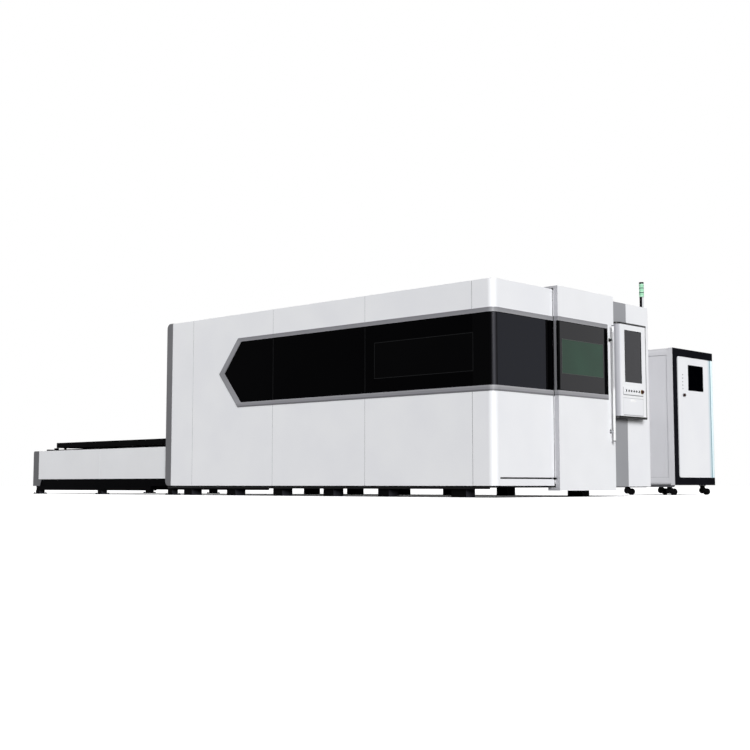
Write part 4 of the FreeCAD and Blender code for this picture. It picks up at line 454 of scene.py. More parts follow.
def slag_steel():
    """Black mill scale of the pallets with specks of slag from cutting, duller than the scale."""
    material, place = start_material("slag_covered_steel")
    specks = add_node(material, "TexVoronoi", {"Vector": place, "Scale": per_metre(22.0)}).outputs["Distance"]
    colour = add_node(material, "ValToRGB", {"Fac": specks}, ramp=[
        (0.0, "100F0E"), (0.22, "040405"), (1.0, "020203")])
    scale = add_node(material, "TexNoise", {
        "Vector": place, "Scale": per_metre(60.0), "Detail": 4.0, "Roughness": 0.6})
    crests = add_node(material, "Math", {0: specks, 1: scale}, operation="SUBTRACT")
    return finish_material(material, colour, scale, (0.45, 0.68), crests, 0.6, specular=0.02)


def moulded_plastic(name, light, dark, gloss, specular=0.5, size=5.0):
    """Injection-moulded plastic or rubber: an even colour under a fine spark-eroded grain."""
    material, place = start_material(name)
    colour = drifting_tone(material, place, 90.0, dark, light, (0.3, 0.7))
    grain = add_node(material, "TexNoise", {"Vector": place, "Scale": per_metre(size)})
    return finish_material(material, colour, grain, gloss, grain, 0.03, specular=specular)


def signal_lens():
    """Ribbed green lens over unlit lamps: pale mint plastic, brighter between its fine ribs."""
    material, place = start_material("ribbed_lens")
    ribs = add_node(material, "TexWave", {
        "Vector": place, "Scale": per_metre(8.0) / 20.0, "Distortion": 0.0},
        bands_direction="Z").outputs["Fac"]
    colour = add_node(material, "ValToRGB", {"Fac": ribs}, ramp=[(0.0, "93CBA8"), (1.0, "B4E2C6")])
    cloud = add_node(material, "TexNoise", {"Vector": place, "Scale": per_metre(12.0)})
    return finish_material(material, colour, cloud, (0.4, 0.5), ribs, 0.3, specular=0.15)


# sheet metal and its paint
white_coat = powder_coat("white_powder_coat", "ECEDF0", "E8E9ED")
# painted shade: the roof's white is a little darker than the walls' white
roof_coat = powder_coat("roof_matt_white_coat", "E6E7EA", "E2E3E6", (0.72, 0.8), 0.08)
table_white = powder_coat("table_white_powder_coat", "E4E5E8", "E0E1E4")
trim_coat = powder_coat("trim_grey_powder_coat", "6E6E71", "69696C", (0.34, 0.42), 0.2)
cap_coat = powder_coat("table_cap_grey_powder_coat", "606063", "5B5B5E", (0.34, 0.42), 0.2)
stripe_coat = powder_coat("stripe_grey_powder_coat", "949599", "909195", specular=0.3)
side_band_coat = powder_coat("door_side_band_coat", "747478", "6E6E72", specular=0.2)
black_coat = powder_coat("black_powder_coat", "040405", "020203", (0.4, 0.52), 0.01)
cabinet_coat = powder_coat("cabinet_grey_powder_coat", "C6C6CA", "C2C2C6", (0.5, 0.6), 0.15)
bed_coat = powder_coat("machine_grey_paint", "7B7E82", "707377", (0.4, 0.5))
runner_coat = powder_coat("runner_grey_powder_coat", "4A4A4D", "444447", specular=0.1)
grip_coat = powder_coat("gloss_white_coat", "FFFFFF", "FAFAFB", (0.2, 0.28))
band_coat = band_extrusion()
console_white = console_coat()
frame_coat = front_frame_coat()
cabinet_white = cabinet_front_coat()
foot_paint = foot_coat()
handle_coat = bar_coat()
door_white = door_coat()

# ground rails and shafts: fine lines along the grinding, a cool bright metal
rail_steel = grained("ground_steel", 3.0, "A9ABAF", "C4C6C9", (0.22, 0.36), 0.01, (0.06, 1.0, 1.0),
                     detail=3.0, metallic=1.0)
casting = cast_aluminium()
pallet_steel = slag_steel()
# zinc-plated screws and brackets: pale cool metal with a cloudy bloom
zinc = grained("zinc_plated_steel", 14.0, "9FA2A5", "C3C5C8", (0.28, 0.45), 0.02, metallic=1.0)
# stainless button collars, brushed crosswise, brighter than the coat round them
collar_steel = grained("brushed_stainless", 2.0, "D2D3D5", "E6E7E8", (0.18, 0.3), 0.01, (1.0, 0.05, 1.0),
                       detail=3.0, metallic=1.0)
# polished chrome on the signal tower's tube: mirrors the room, with faint handling marks
chrome = grained("polished_chrome", 25.0, "D4D6D9", "E6E8EA", (0.05, 0.14), 0.005, metallic=1.0)

# panes, screens and the light strip
side_acrylic = tinted_sheet("black_acrylic", "020203", "010102", 0.01)
window_acrylic = tinted_sheet("viewing_window_acrylic", "040405", "030304", 0.012)
door_glass = tinted_sheet("door_tinted_glass", "131318", "0F0F14", 0.25)
corner_glass = bent_glass()
laser_glass = laser_safety_glass()
# switched-off touch screens: flat dark glass with faint wiping marks
console_glass = grained("console_screen_glass", 45.0, "1D1D22", "212126", (0.06, 0.16), 0.01,
                        (1.0, 0.35, 1.0), 35.0, specular=0.3)
display_glass = grained("display_glass", 45.0, "010103", "020204", (0.06, 0.16), 0.01,
                        (1.0, 0.35, 1.0), 35.0, specular=0.0)
strip_acrylic = lit_acrylic("light_strip_acrylic", "DDEDF1", "D6EAF0", 0.12)
strip_edge = lit_acrylic("light_strip_edge_acrylic", "387483", "316B79", 0.0)
lens_plastic = signal_lens()

# moulded plastic and rubber
tower_black = tower_plastic()
black_plastic = moulded_plastic("black_moulded_plastic", "111113", "0C0C0E", (0.45, 0.6), 0.1)
fork_plastic = moulded_plastic("caster_nylon", "0E0E10", "09090A", (0.5, 0.65), 0.06)
button_plastic = moulded_plastic("button_plastic", "1B1B1D", "141416", (0.3, 0.4), 0.2)
stop_plastic = moulded_plastic("stop_button_plastic", "3A110D", "2C0C0A", (0.3, 0.4), 0.15)
cabinet_stop_plastic = moulded_plastic("cabinet_stop_plastic", "2A1210", "1E0D0C", (0.3, 0.4), 0.1)
ring_plastic = moulded_plastic("lens_ring_plastic", "2C5444", "25493B", (0.4, 0.5), 0.1)
key_plastic = moulded_plastic("key_cap_plastic", "2B2C2F", "222326", (0.35, 0.5), size=2.0)
stop_yellow = moulded_plastic("stop_plate_plastic", "8A7428", "7A6622", (0.3, 0.42))
stop_grey = moulded_plastic("stop_plate_grey_plastic", "9A9B9F", "8F9094", (0.35, 0.5))
lamp_grey = moulded_plastic("lamp_plastic", "77787C", "6C6D71", (0.25, 0.4))
cap_plastic = moulded_plastic("handle_cap_plastic", "77787B", "6E6F72", (0.35, 0.5))
gasket_rubber = moulded_plastic("gasket_rubber", "0C0C0D", "060607", (0.5, 0.65), 0.1)
window_bead_rubber = moulded_plastic("viewing_window_bead_rubber", "0D0E10", "0A0B0C", (0.5, 0.6), 0.1)
bead_rubber = moulded_plastic("laser_window_bead_rubber", "26332C", "202B25", (0.4, 0.55))
seam_rubber = moulded_plastic("panel_seam_rubber", "6A6A6E", "626266", (0.6, 0.75))
dark_seam_rubber = moulded_plastic("dark_seam_rubber", "38383B", "303033", (0.6, 0.75))
seal_grey = moulded_plastic("flap_seal_rubber", "A2A3A7", "9A9B9F", (0.5, 0.65))
pale_seal = moulded_plastic("pale_seal_rubber", "D8D9DC", "D0D1D4", (0.5, 0.65))
# brush seals: grey nylon hair in upright rows, with no shine
seal_hair = grained("brush_seal_nylon", 2.5, "B9B9BD", "D6D6D9", (0.7, 0.9), 0.4, (1.0, 1.0, 0.05),
                    detail=2.0)
# tyres of the casters: deep black, matt, scuffed grey where they roll
tyre_rubber = grained("black_rubber", 9.0, "060607", "121213", (0.6, 0.85), 0.2, harshness=0.7,
                      stops=(0.35, 0.75), specular=0.05)

node_materials = {
    white_coat: ["portal_wall", "narrow_side_panel", "arrow_side_panel", "upper_side_panels",
                 "lower_side_panels", "upper_corner_panel", "lower_corner_panel", "rear_panels",
                 "white_end_panel", "keyboard_flap"],
    roof_coat: ["roof_panels"],
    table_white: ["table_side_panels"],
    console_white: ["console_housing"],
    cabinet_white: ["cabinet_front_panel"],
    frame_coat: ["cabinet_front_frame"],
    trim_coat: ["portal_trim"],
    cap_coat: ["table_end_cap"],
    stripe_coat: ["grey_end_panel"],
    band_coat: ["window_frame"],
    black_coat: ["housing_frame", "table_frame", "door_tracks", "pallet_rails"],
    foot_paint: ["levelling_feet"],
    cabinet_coat: ["cabinet_body"],
    bed_coat: ["bed_frame", "pallet_drive"],
    handle_coat: ["end_door_handle"],
    door_white: ["end_door_leaf"],
    side_acrylic: ["side_window_panes"],
    corner_glass: ["corner_window_pane"],
    door_glass: ["end_door_glass"],
    laser_glass: ["end_door_window"],
    rail_steel: ["gantry_rails", "pallet_drive_shaft", "cutting_head"],
    casting: ["gantry_beam", "cross_carriage"],
    pallet_steel: ["upper_pallet", "lower_pallet"],
    tower_black: ["signal_tower"],
    lens_plastic: ["signal_lenses"],
    console_glass: ["console_screen"],
    display_glass: ["cabinet_display"],
    button_plastic: ["console_button_%d" % (i + 1) for i in range(6)],
    stop_plastic: ["console_stop_button"],
    cabinet_stop_plastic: ["cabinet_stop_button"],
    fork_plastic: ["caster_fork_%d" % (i + 1) for i in range(4)],
    tyre_rubber: ["caster_wheel_%d" % (i + 1) for i in range(4)],
}


def dress(piece, material):
    piece.data.materials.clear()
    piece.data.materials.append(material)


for material, names in node_materials.items():
    for name in names:
        dress(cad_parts[name], material)


# ---------------------------------------------------------------- modelling helpers
def choose(piece):
    """Make a piece the only selected one, and the active one."""
    bpy.ops.object.select_all(action="DESELECT")
    bpy.context.view_layer.objects.active = piece
    piece.select_set(True)


def start_block(name, x0, x1, y0, y1, z0, z1):
    """A block between two corners given in millimetres, ready to be shaped."""
    bpy.ops.object.select_all(action="DESELECT")
    low = at(x0, y0, z0)
    high = at(x1, y1, z1)
    bpy.ops.mesh.primitive_cube_add(size=1.0, location=(low + high) / 2.0, scale=high - low)
    piece = bpy.context.active_object
    piece.name = name
    bpy.ops.object.transform_apply(location=True, rotation=True, scale=True)
    return piece


def start_rod(name, centre, radius, length, axis, sides=32):
    """A round bar along X, Y or Z about its middle, ready to be shaped."""
    turns = {"x": (0.0, math.pi / 2.0, 0.0), "y": (math.pi / 2.0, 0.0, 0.0), "z": (0.0, 0.0, 0.0)}
    bpy.ops.object.select_all(action="DESELECT")
    bpy.ops.mesh.primitive_cylinder_add(vertices=sides, radius=mm(radius), depth=mm(length),
                                        location=at(*centre), rotation=turns[axis])
    piece = bpy.context.active_object
    piece.name = name
    bpy.ops.object.transform_apply(location=True, rotation=True, scale=True)
    return piece


def open_piece(piece, kind):
    """Go into edit mode with nothing selected, in face, edge or vertex mode."""
    choose(piece)
    bpy.ops.object.mode_set(mode="EDIT")
    bpy.ops.mesh.select_mode(type=kind)
    bpy.ops.mesh.select_all(action="DESELECT")


def close_piece():
    bpy.ops.object.mode_set(mode="OBJECT")


def looking(way):
    """A test for faces that look one way, such as "+x" or "-z", or both ways along an axis, as "y"."""
    number = "xyz".index(way[-1])
    sign = {"+": (1.0,), "-": (-1.0,)}.get(way[0], (1.0, -1.0))
    return lambda middle, normal: any(normal[number] * side > 0.9 for side in sign)


def pick_faces(piece, test):
    """Select the faces whose middle, in millimetres of the machine, and normal pass the test."""
    mesh = bmesh.from_edit_mesh(piece.data)
    for face in mesh.faces:
        if test(in_mm(face.calc_center_median()), face.normal):
            face.select_set(True)
    bmesh.update_edit_mesh(piece.data)


def pick_edges(piece, test):
    """Select the edges whose middle and direction pass the test."""
    mesh = bmesh.from_edit_mesh(piece.data)
    for edge in mesh.edges:
        a, b = edge.verts
        if test(in_mm((a.co + b.co) / 2.0), (b.co - a.co).normalized()):
            edge.select_set(True)
    bmesh.update_edit_mesh(piece.data)


def shift(piece, test, x=0.0, y=0.0, z=0.0):
    """Move the points whose place in the machine's millimetres passes the test by so many of them."""
    open_piece(piece, "VERT")
    mesh = bmesh.from_edit_mesh(piece.data)
    for vertex in mesh.verts:
        vertex.select_set(test(in_mm(vertex.co)))
    mesh.select_flush_mode()
    bmesh.update_edit_mesh(piece.data)
    bpy.ops.transform.translate(value=(mm(x), mm(y), mm(z)))
    close_piece()


def grow(piece, test, x=0.0, y=0.0, z=0.0):
    """Pull the faces that pass the test out of the piece by so many millimetres."""
    open_piece(piece, "FACE")
    pick_faces(piece, test)
    bpy.ops.mesh.extrude_region_move(TRANSFORM_OT_translate={"value": (mm(x), mm(y), mm(z))})
    close_piece()


def inset(piece, way, *steps):
    """Inset the faces that look one way, by a width and a depth in millimetres for each step. Faces
    at both ends of an axis are inset each on its own."""
    open_piece(piece, "FACE")
    pick_faces(piece, looking(way))
    for width, depth in steps:
        bpy.ops.mesh.inset(thickness=mm(width), depth=mm(depth), use_individual=len(way) == 1)
    close_piece()


def drill(piece, axis, rim):
    """Open a piece right through along an axis, leaving a rim of so many millimetres."""
    open_piece(piece, "FACE")
    pick_faces(piece, looking(axis))
    bpy.ops.mesh.inset(thickness=mm(rim), use_individual=True)
    bpy.ops.mesh.bridge_edge_loops()
    close_piece()


def soften(piece, width, segments=2):
    """Round all sharp edges of a piece a little."""
    bevel = piece.modifiers.new("round", "BEVEL")
    bevel.width = mm(width)
    bevel.segments = segments
    bevel.limit_method = "ANGLE"
    bevel.angle_limit = math.radians(40.0)
    choose(piece)
    bpy.ops.object.modifier_apply(modifier=bevel.name)


def join(name, pieces):
    """Make one piece of several."""
    choose(pieces[0])
    for piece in pieces[1:]:
        piece.select_set(True)
    bpy.ops.object.join()
    pieces[0].name = name
    return pieces[0]


def copy_to(piece, name, dx, dy, dz):
    """A copy of a piece with its own mesh, moved by so many millimetres."""
    twin = piece.copy()
    twin.data = piece.data.copy()
    twin.name = name
    bpy.context.scene.collection.objects.link(twin)
    twin.data.transform(Matrix.Translation(Vector((mm(dx), mm(dy), mm(dz)))))
    return twin


def row(first, count, dy, dz=0.0):
    """A piece and its copies at equal steps in millimetres, made one piece."""
    copies = [copy_to(first, "copy", 0.0, i * dy, i * dz) for i in range(1, count)]
    return join(first.name, [first] + copies)


def complete(piece, body, material):
    """Shade a piece, give it its material and let it ride on a body."""
    choose(piece)
    bpy.ops.object.shade_smooth_by_angle(angle=math.radians(30.0))
    dress(piece, material)
    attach(piece, body)


def border(name, front, back, opening, rims, through="x"):
    """A plate with a rectangular opening through it along X or Y. The opening has its limits across
    and in z, and the rims are as wide as given at its left, right, bottom and top."""
    left, right, bottom, top = rims
    a0, a1, z0, z1 = opening[0] - left, opening[1] + right, opening[2] - bottom, opening[3] + top
    across = 1 if through == "x" else 0
    box = (front, back, a0, a1, z0, z1) if through == "x" else (a0, a1, front, back, z0, z1)
    piece = start_block(name, *box)
    drill(piece, through, 1.0)

    def inner(p):
        return a0 + 0.5 < p[across] < a1 - 0.5 and z0 + 0.5 < p.z < z1 - 0.5

    side = "xy"[across]
    shift(piece, lambda p: inner(p) and p[across] < (a0 + a1) / 2.0, **{side: left - 1.0})
    shift(piece, lambda p: inner(p) and p[across] > (a0 + a1) / 2.0, **{side: 1.0 - right})
    shift(piece, lambda p: inner(p) and p.z < (z0 + z1) / 2.0, z=bottom - 1.0)
    shift(piece, lambda p: inner(p) and p.z > (z0 + z1) / 2.0, z=1.0 - top)
    return piece


def ring(name, centre, outer, inner, length, axis, sides=24):
    """A turned ring about an axis."""
    piece = start_rod(name, centre, outer, length, axis, sides)
    drill(piece, axis, outer - inner)
    return piece


def hex_bolt(name, centre, across, height):
    """Hexagon bolt head, upright on a thin washer. The last, flat extrusion doubles the washer's rim,
    so that the bevel doesn't take it back to the head."""
    head = start_rod(name, centre, across / 2.0, height, "z", 6)
    open_piece(head, "FACE")
    pick_faces(head, looking("-z"))
    bpy.ops.mesh.inset(thickness=0.0, depth=0.0)
    bpy.ops.transform.resize(value=(1.3, 1.3, 1.3))
    bpy.ops.mesh.extrude_region_move(TRANSFORM_OT_translate={"value": (0.0, 0.0, 0.0)})
    close_piece()
    soften(head, across * 0.06, 1)
    return head


# ---------------------------------------------------------------- sliding door
def make_door_dressing():
    face = DOOR_FACE
    for name, z0, z1 in (("door_band_top", GLASS_TOP, BAND_TOP),
                         ("door_band_bottom", BAND_BOTTOM, GLASS_BOTTOM)):
        strip = start_block(name, face, face + BAND_STRIP, DOOR_LEFT - BAND_STRIP, DOOR_LEFT, z0, z1)
        grow(strip, looking("+y"), y=BAND_STRIP_LENGTH)
        grow(strip, lambda middle, normal: normal.x < -0.9 and middle.y < DOOR_LEFT, x=-DOOR_WRAP)
        soften(strip, 0.5, 1)
        complete(strip, "end_door", band_coat)

    glass = (DOOR_LEFT + 32.0, DOOR_LEFT + 889.0, GLASS_BOTTOM + 5.0, GLASS_TOP - 5.0)
    complete(border("door_glass_border", face - 1.5, face - 0.1, glass, (29.0, 71.0, 5.0, 5.0)),
             "end_door", side_acrylic)

    # the folded edge of the door beside the glass: grey behind as painted shade on its side, black glass in
    # front
    rear = start_block("door_side_band", face - DOOR_WRAP, face - WRAP_GLASS,
                       DOOR_LEFT - 1.6, DOOR_LEFT - 0.1, GLASS_BOTTOM, GLASS_TOP)
    soften(rear, 0.4, 1)
    complete(rear, "end_door", side_band_coat)
    wrap = start_block("door_side_pane", face - WRAP_GLASS, face + 0.6,
                       DOOR_LEFT - 1.8, DOOR_LEFT - 0.1, GLASS_BOTTOM, GLASS_TOP)
    soften(wrap, 0.4, 1)
    edge = start_block("edge", face + 0.1, face + 0.7,
                       DOOR_LEFT - 1.6, DOOR_LEFT + 4.0, GLASS_BOTTOM, GLASS_TOP)
    soften(edge, 0.2, 1)
    complete(join("door_side_pane", [wrap, edge]), "end_door", side_acrylic)

    bead = border("laser_window_bead", face - 1.5, face - 0.4, LASER_WINDOW, (8.0,) * 4)
    soften(bead, 0.3, 1)
    complete(bead, "end_door", bead_rubber)

    for name, gap, z0, z1, material in (
            ("door_brush_seal_lower", 4.0, 140.0, BAND_BOTTOM - 4.0, seal_hair),
            ("door_brush_seal_upper", 4.0, BAND_TOP + 4.0, 2190.0, seal_hair),
            ("door_band_seal", 7.0, BAND_BOTTOM - 4.0, BAND_TOP + 4.0, gasket_rubber)):
        seal = start_block(name, gap, 13.0, DOOR_LEFT - 3.0, DOOR_LEFT + 6.0, z0, z1)
        open_piece(seal, "EDGE")
        pick_edges(seal, lambda middle, run: abs(run.z) > 0.9)
        bpy.ops.mesh.subdivide(number_cuts=12)
        close_piece()
        soften(seal, 0.8, 1)
        complete(seal, "end_door", material)

    bolt = hex_bolt("door_flange_bolts", (-70.0, DOOR_LEFT + 90.0, DOOR_FLANGE_TOP), 17.0, 6.0)
    complete(row(bolt, 6, 176.0), "end_door", zinc)


def make_handle():
    """Pull bar of the door: white bar between two grey end caps, on a dark and a light standoff."""
    x0 = DOOR_FACE + 42.0
    x1 = DOOR_FACE + 62.0
    y = DOOR_RIGHT - 95.0
    bar = start_block("door_handle_bar", x0 + 1.0, x1 - 1.0, y - 14.0, y + 14.0, 612.0, 1888.0)
    soften(bar, 6.0, 3)
    complete(bar, "end_door", handle_coat)
    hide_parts("end_door_handle")
    cap = start_block("door_handle_cap_lower", x0, x1, y - 16.0, y + 16.0, 600.0, 613.0)
    inset(cap, "-z", (3.0, -2.0))
    soften(cap, 4.0)
    complete(cap, "end_door", cap_plastic)
    complete(copy_to(cap, "door_handle_cap_upper", 0.0, 0.0, 1287.0), "end_door", cap_plastic)
    for name, z, material in (("lower", 716.0, zinc), ("upper", 1736.0, black_plastic)):
        post = start_rod("door_handle_post_" + name, (DOOR_FACE + 22.0, y, z), 11.0, 44.0, "x", 24)
        grow(post, looking("-x"))
        open_piece(post, "FACE")
        pick_faces(post, looking("-x"))
        bpy.ops.transform.resize(value=(1.0, 1.5, 2.4))
        close_piece()
        soften(post, 1.0, 1)
        complete(post, "end_door", material)


# ---------------------------------------------------------------- housing
def make_housing_dressing():
    edge = start_block("corner_glass_border", -4.0, -3.0, 898.0, 1021.0, GLASS_BOTTOM, GLASS_TOP)
    inset(edge, "+x", (2.0, 0.2))
    complete(edge, "machine", side_acrylic)

    window = (-1631.0, -268.0, 1280.0, 1663.0)
    pane = start_block("viewing_window", window[0], window[1], 3.2, 4.0, window[2], window[3])
    inset(pane, "-y", (6.0, -0.4))
    complete(pane, "machine", window_acrylic)
    complete(border("viewing_window_bead", 2.6, 4.0, window, (6.0,) * 4, "y"), "machine", window_bead_rubber)

    joints = []
    for x in BAY_SEAMS:
        joint = start_block("joint", x - 3.0, x + 3.0, 3.3, 4.0, GLASS_BOTTOM, GLASS_TOP)
        inset(joint, "-y", (1.0, -0.2))
        joints.append(joint)
    complete(join("pane_joints", joints), "machine", window_bead_rubber)

    def gasket(x, reach, front, z0, z1):
        piece = start_block("gasket", x - reach, x + reach, front, GASKET_BACK, z0, z1)
        soften(piece, 0.5, 1)
        return piece

    top = HOUSING_TOP - 4.0
    pale = [gasket(NARROW_SEAM, 2.2, GASKET_FRONT, PANEL_BOTTOM, top)]
    for x in BAY_SEAMS:
        pale.append(gasket(x, 2.2, GASKET_FRONT, PANEL_BOTTOM, BAND_BOTTOM))
        pale.append(gasket(x, 2.2, 2.0 * GASKET_FRONT, BAND_TOP, top))
    dark = [gasket(CORNER_SEAM, 2.4, GASKET_FRONT, PANEL_BOTTOM, BAND_BOTTOM),
            gasket(CORNER_SEAM, 2.4, 2.0 * GASKET_FRONT, BAND_TOP, top)]
    complete(join("panel_seam_gaskets", pale), "machine", seam_rubber)
    complete(join("corner_seam_gaskets", dark), "machine", dark_seam_rubber)

    # dark strips set back under the panels' lower edges, standing for the shade under them: painted shadow
    for name, box in (("under_panel_shadow_strip_side", (WALL_END + 30.0, -72.0, 12.0, 20.0, 84.0, PANEL_BOTTOM)),
                      ("under_panel_shadow_strip_end", (-20.0, -12.0, 72.0, DOOR_LEFT - 8.0, 108.0, PANEL_BOTTOM))):
        skirt = start_block(name, *box)
        inset(skirt, "-z", (SKIRT_ROUNDING, -3.0))
        soften(skirt, SKIRT_ROUNDING)
        complete(skirt, "machine", gasket_rubber)

    guide = start_block("door_guide_shoe", 1.0, 26.0, 1002.0, 1025.0, 186.0, 204.0)
    inset(guide, "+x", (4.0, -2.0))
    soften(guide, 1.0, 1)
    complete(guide, "end_door", black_plastic)

    for panel, x in (("left", -4560.0), ("right", -1300.0)):
        hood = start_block("rear_louvres_" + panel, x - 260.0, x + 260.0,
                           REAR_WALL, REAR_WALL + 12.0, 1500.0, 1512.0)
        shift(hood, lambda p: p.y > REAR_WALL + 7.0 and p.z > 1508.0, y=-11.0, z=10.0)
        soften(hood, 1.5, 1)
        complete(row(hood, 10, 0.0, LOUVRE_RISE), "machine", white_coat)

    first = hex_bolt("foot_bolts", (0.0, 0.0, 17.0), 19.0, 10.0)
    sides = (-FOOT_BOLT_REACH, FOOT_BOLT_REACH)
    bolts = [copy_to(first, "bolt", x + dx, y + dy, 0.0)
             for x in TABLE_FEET for y in TABLE_FEET_Y for dx in sides for dy in sides]
    bpy.data.objects.remove(first)
    complete(join("foot_bolts", bolts), "machine", black_coat)


# ---------------------------------------------------------------- console
def make_console_dressing():
    face = CONSOLE_FACE
    screen = (CONSOLE_LEFT + 142.0, CONSOLE_LEFT + 490.0, 1286.0, 1867.0)
    complete(border("screen_gasket", face - 3.0, face + 0.8, screen, (4.5,) * 4), "machine", gasket_rubber)

    collar = ring("button_collars", (face + 6.0, BUTTON_LEFT, CONTROLS_Z), 16.0, BUTTON_HOLE, 2.0, "x", 28)
    soften(collar, 0.5, 1)
    complete(row(collar, 6, BUTTON_PITCH), "machine", collar_steel)
    plate = ring("stop_plate", (face + 6.0, STOP_Y, CONTROLS_Z), 26.0, BUTTON_HOLE, 2.0, "x", 36)
    soften(plate, 0.5, 1)
    complete(plate, "machine", stop_yellow)

    flap = (FLAP_LEFT + 0.3, FLAP_RIGHT - 0.3, FLAP_BOTTOM + 0.3, FLAP_TOP - 0.3)
    complete(border("flap_seal", face - 2.0, face + 0.4, flap, (4.3,) * 4), "machine", pale_seal)
    # grey lips under the flap and under the control plate, standing for the shade lines beneath them: painted
    # shadow
    for name, margin, z, height in (("flap_shadow_lip", 4.0, 905.0, 6.0),
                                    ("control_plate_shadow_lip", 0.0, 1131.0, 10.0)):
        lip = start_block(name, face - 1.0, face + 1.6, FLAP_LEFT + margin, FLAP_RIGHT - margin,
                          z, z + height)
        open_piece(lip, "EDGE")
        pick_edges(lip, lambda middle, run: middle.x > face + 1.0 and middle.z < z + 1.0
                   and abs(run.y) > 0.9)
        bpy.ops.mesh.bevel(offset=mm(1.2), segments=2)
        close_piece()
        complete(lip, "machine", seal_grey)

    # the first line, down the console's right edge, is painted shade on its rounded edge
    for name, y, reach, z0, z1, material in (
            ("console_edge_shade_line", CONSOLE_RIGHT - 33.0, 5.5, CONSOLE_BOTTOM + 2.0, CONSOLE_TOP - 2.0,
             seam_rubber),
            ("control_plate_seam", FLAP_LEFT - 3.0, 4.0, 1142.0, 1226.0, pale_seal)):
        line = start_block(name, face - 1.0, face + 1.2, y - reach, y + reach, z0, z1)
        inset(line, "+x", (1.5, -0.5))
        complete(line, "machine", material)

    grip = (GRIP_LEFT, GRIP_RIGHT, GRIP_BOTTOM, GRIP_TOP)
    rim = border("flap_pull_rim", face - 0.5, face + 1.2, grip, (6.0, 6.0, 5.0, 5.0))
    soften(rim, 0.6, 1)
    complete(rim, "flap", grip_coat)
    pull = start_block("flap_pull_plate", face - 4.0, face - 1.0, *grip)
    inset(pull, "+x", (3.0, 1.5))
    soften(pull, 0.6, 1)
    complete(pull, "flap", grip_coat)

    back = face - 30.0
    first = start_block("key", back - 6.0, back, 0.0, KEY_SIZE, 0.0, KEY_SIZE)
    open_piece(first, "FACE")
    pick_faces(first, looking("-x"))
    bpy.ops.transform.resize(value=(1.0, 0.78, 0.78))
    bpy.ops.mesh.inset(thickness=mm(1.5), depth=mm(-0.8))
    close_piece()
    keys = [copy_to(first, "key", 0.0, FLAP_LEFT + 34.0 + KEY_PITCH * column,
                    FLAP_BOTTOM + 27.0 + KEY_PITCH * line)
            for line in range(KEY_ROWS) for column in range(KEY_COLUMNS)]
    bpy.data.objects.remove(first)
    complete(join("keyboard_keys", keys), "flap", key_plastic)

    knuckle = start_rod("flap_hinge", (face - 4.0, FLAP_LEFT + 60.0, FLAP_BOTTOM - 6.0), 4.0, 46.0, "y", 16)
    inset(knuckle, "y", (1.2, -1.0))
    complete(row(knuckle, 2, 229.0), "machine", zinc)


# ---------------------------------------------------------------- signal tower
def make_tower_cover():
    """Chromed shell on the side of the tube that faces the end and the back, and the lens rings. The
    tube left bare and black on the other side is a painted dark reflection of the chrome.
    """
    cover = start_rod("tower_chrome_cover", (TOWER_X, TOWER_Y, 2265.0), 25.7, 126.0, "z", 48)
    # the chrome covers only the side that looks this way; the bare black side is a painted reflection
    bright = Vector((0.86, 0.51, 0.0))
    open_piece(cover, "FACE")
    pick_faces(cover, lambda middle, normal: abs(normal.z) > 0.9 or normal.dot(bright) < 0.3)
    bpy.ops.mesh.delete(type="FACE")
    close_piece()
    wall = cover.modifiers.new("wall", "SOLIDIFY")
    wall.thickness = mm(0.6)
    wall.offset = -1.0
    bpy.ops.object.modifier_apply(modifier=wall.name)
    complete(cover, "machine", chrome)

    rings = []
    for z in (2383.5, 2437.0):
        collar = ring("lens_ring", (TOWER_X, TOWER_Y, z), 28.0, 24.0, 12.0, "z", 48)
        soften(collar, 1.2)
        rings.append(collar)
    complete(join("lens_rings", rings), "machine", ring_plastic)


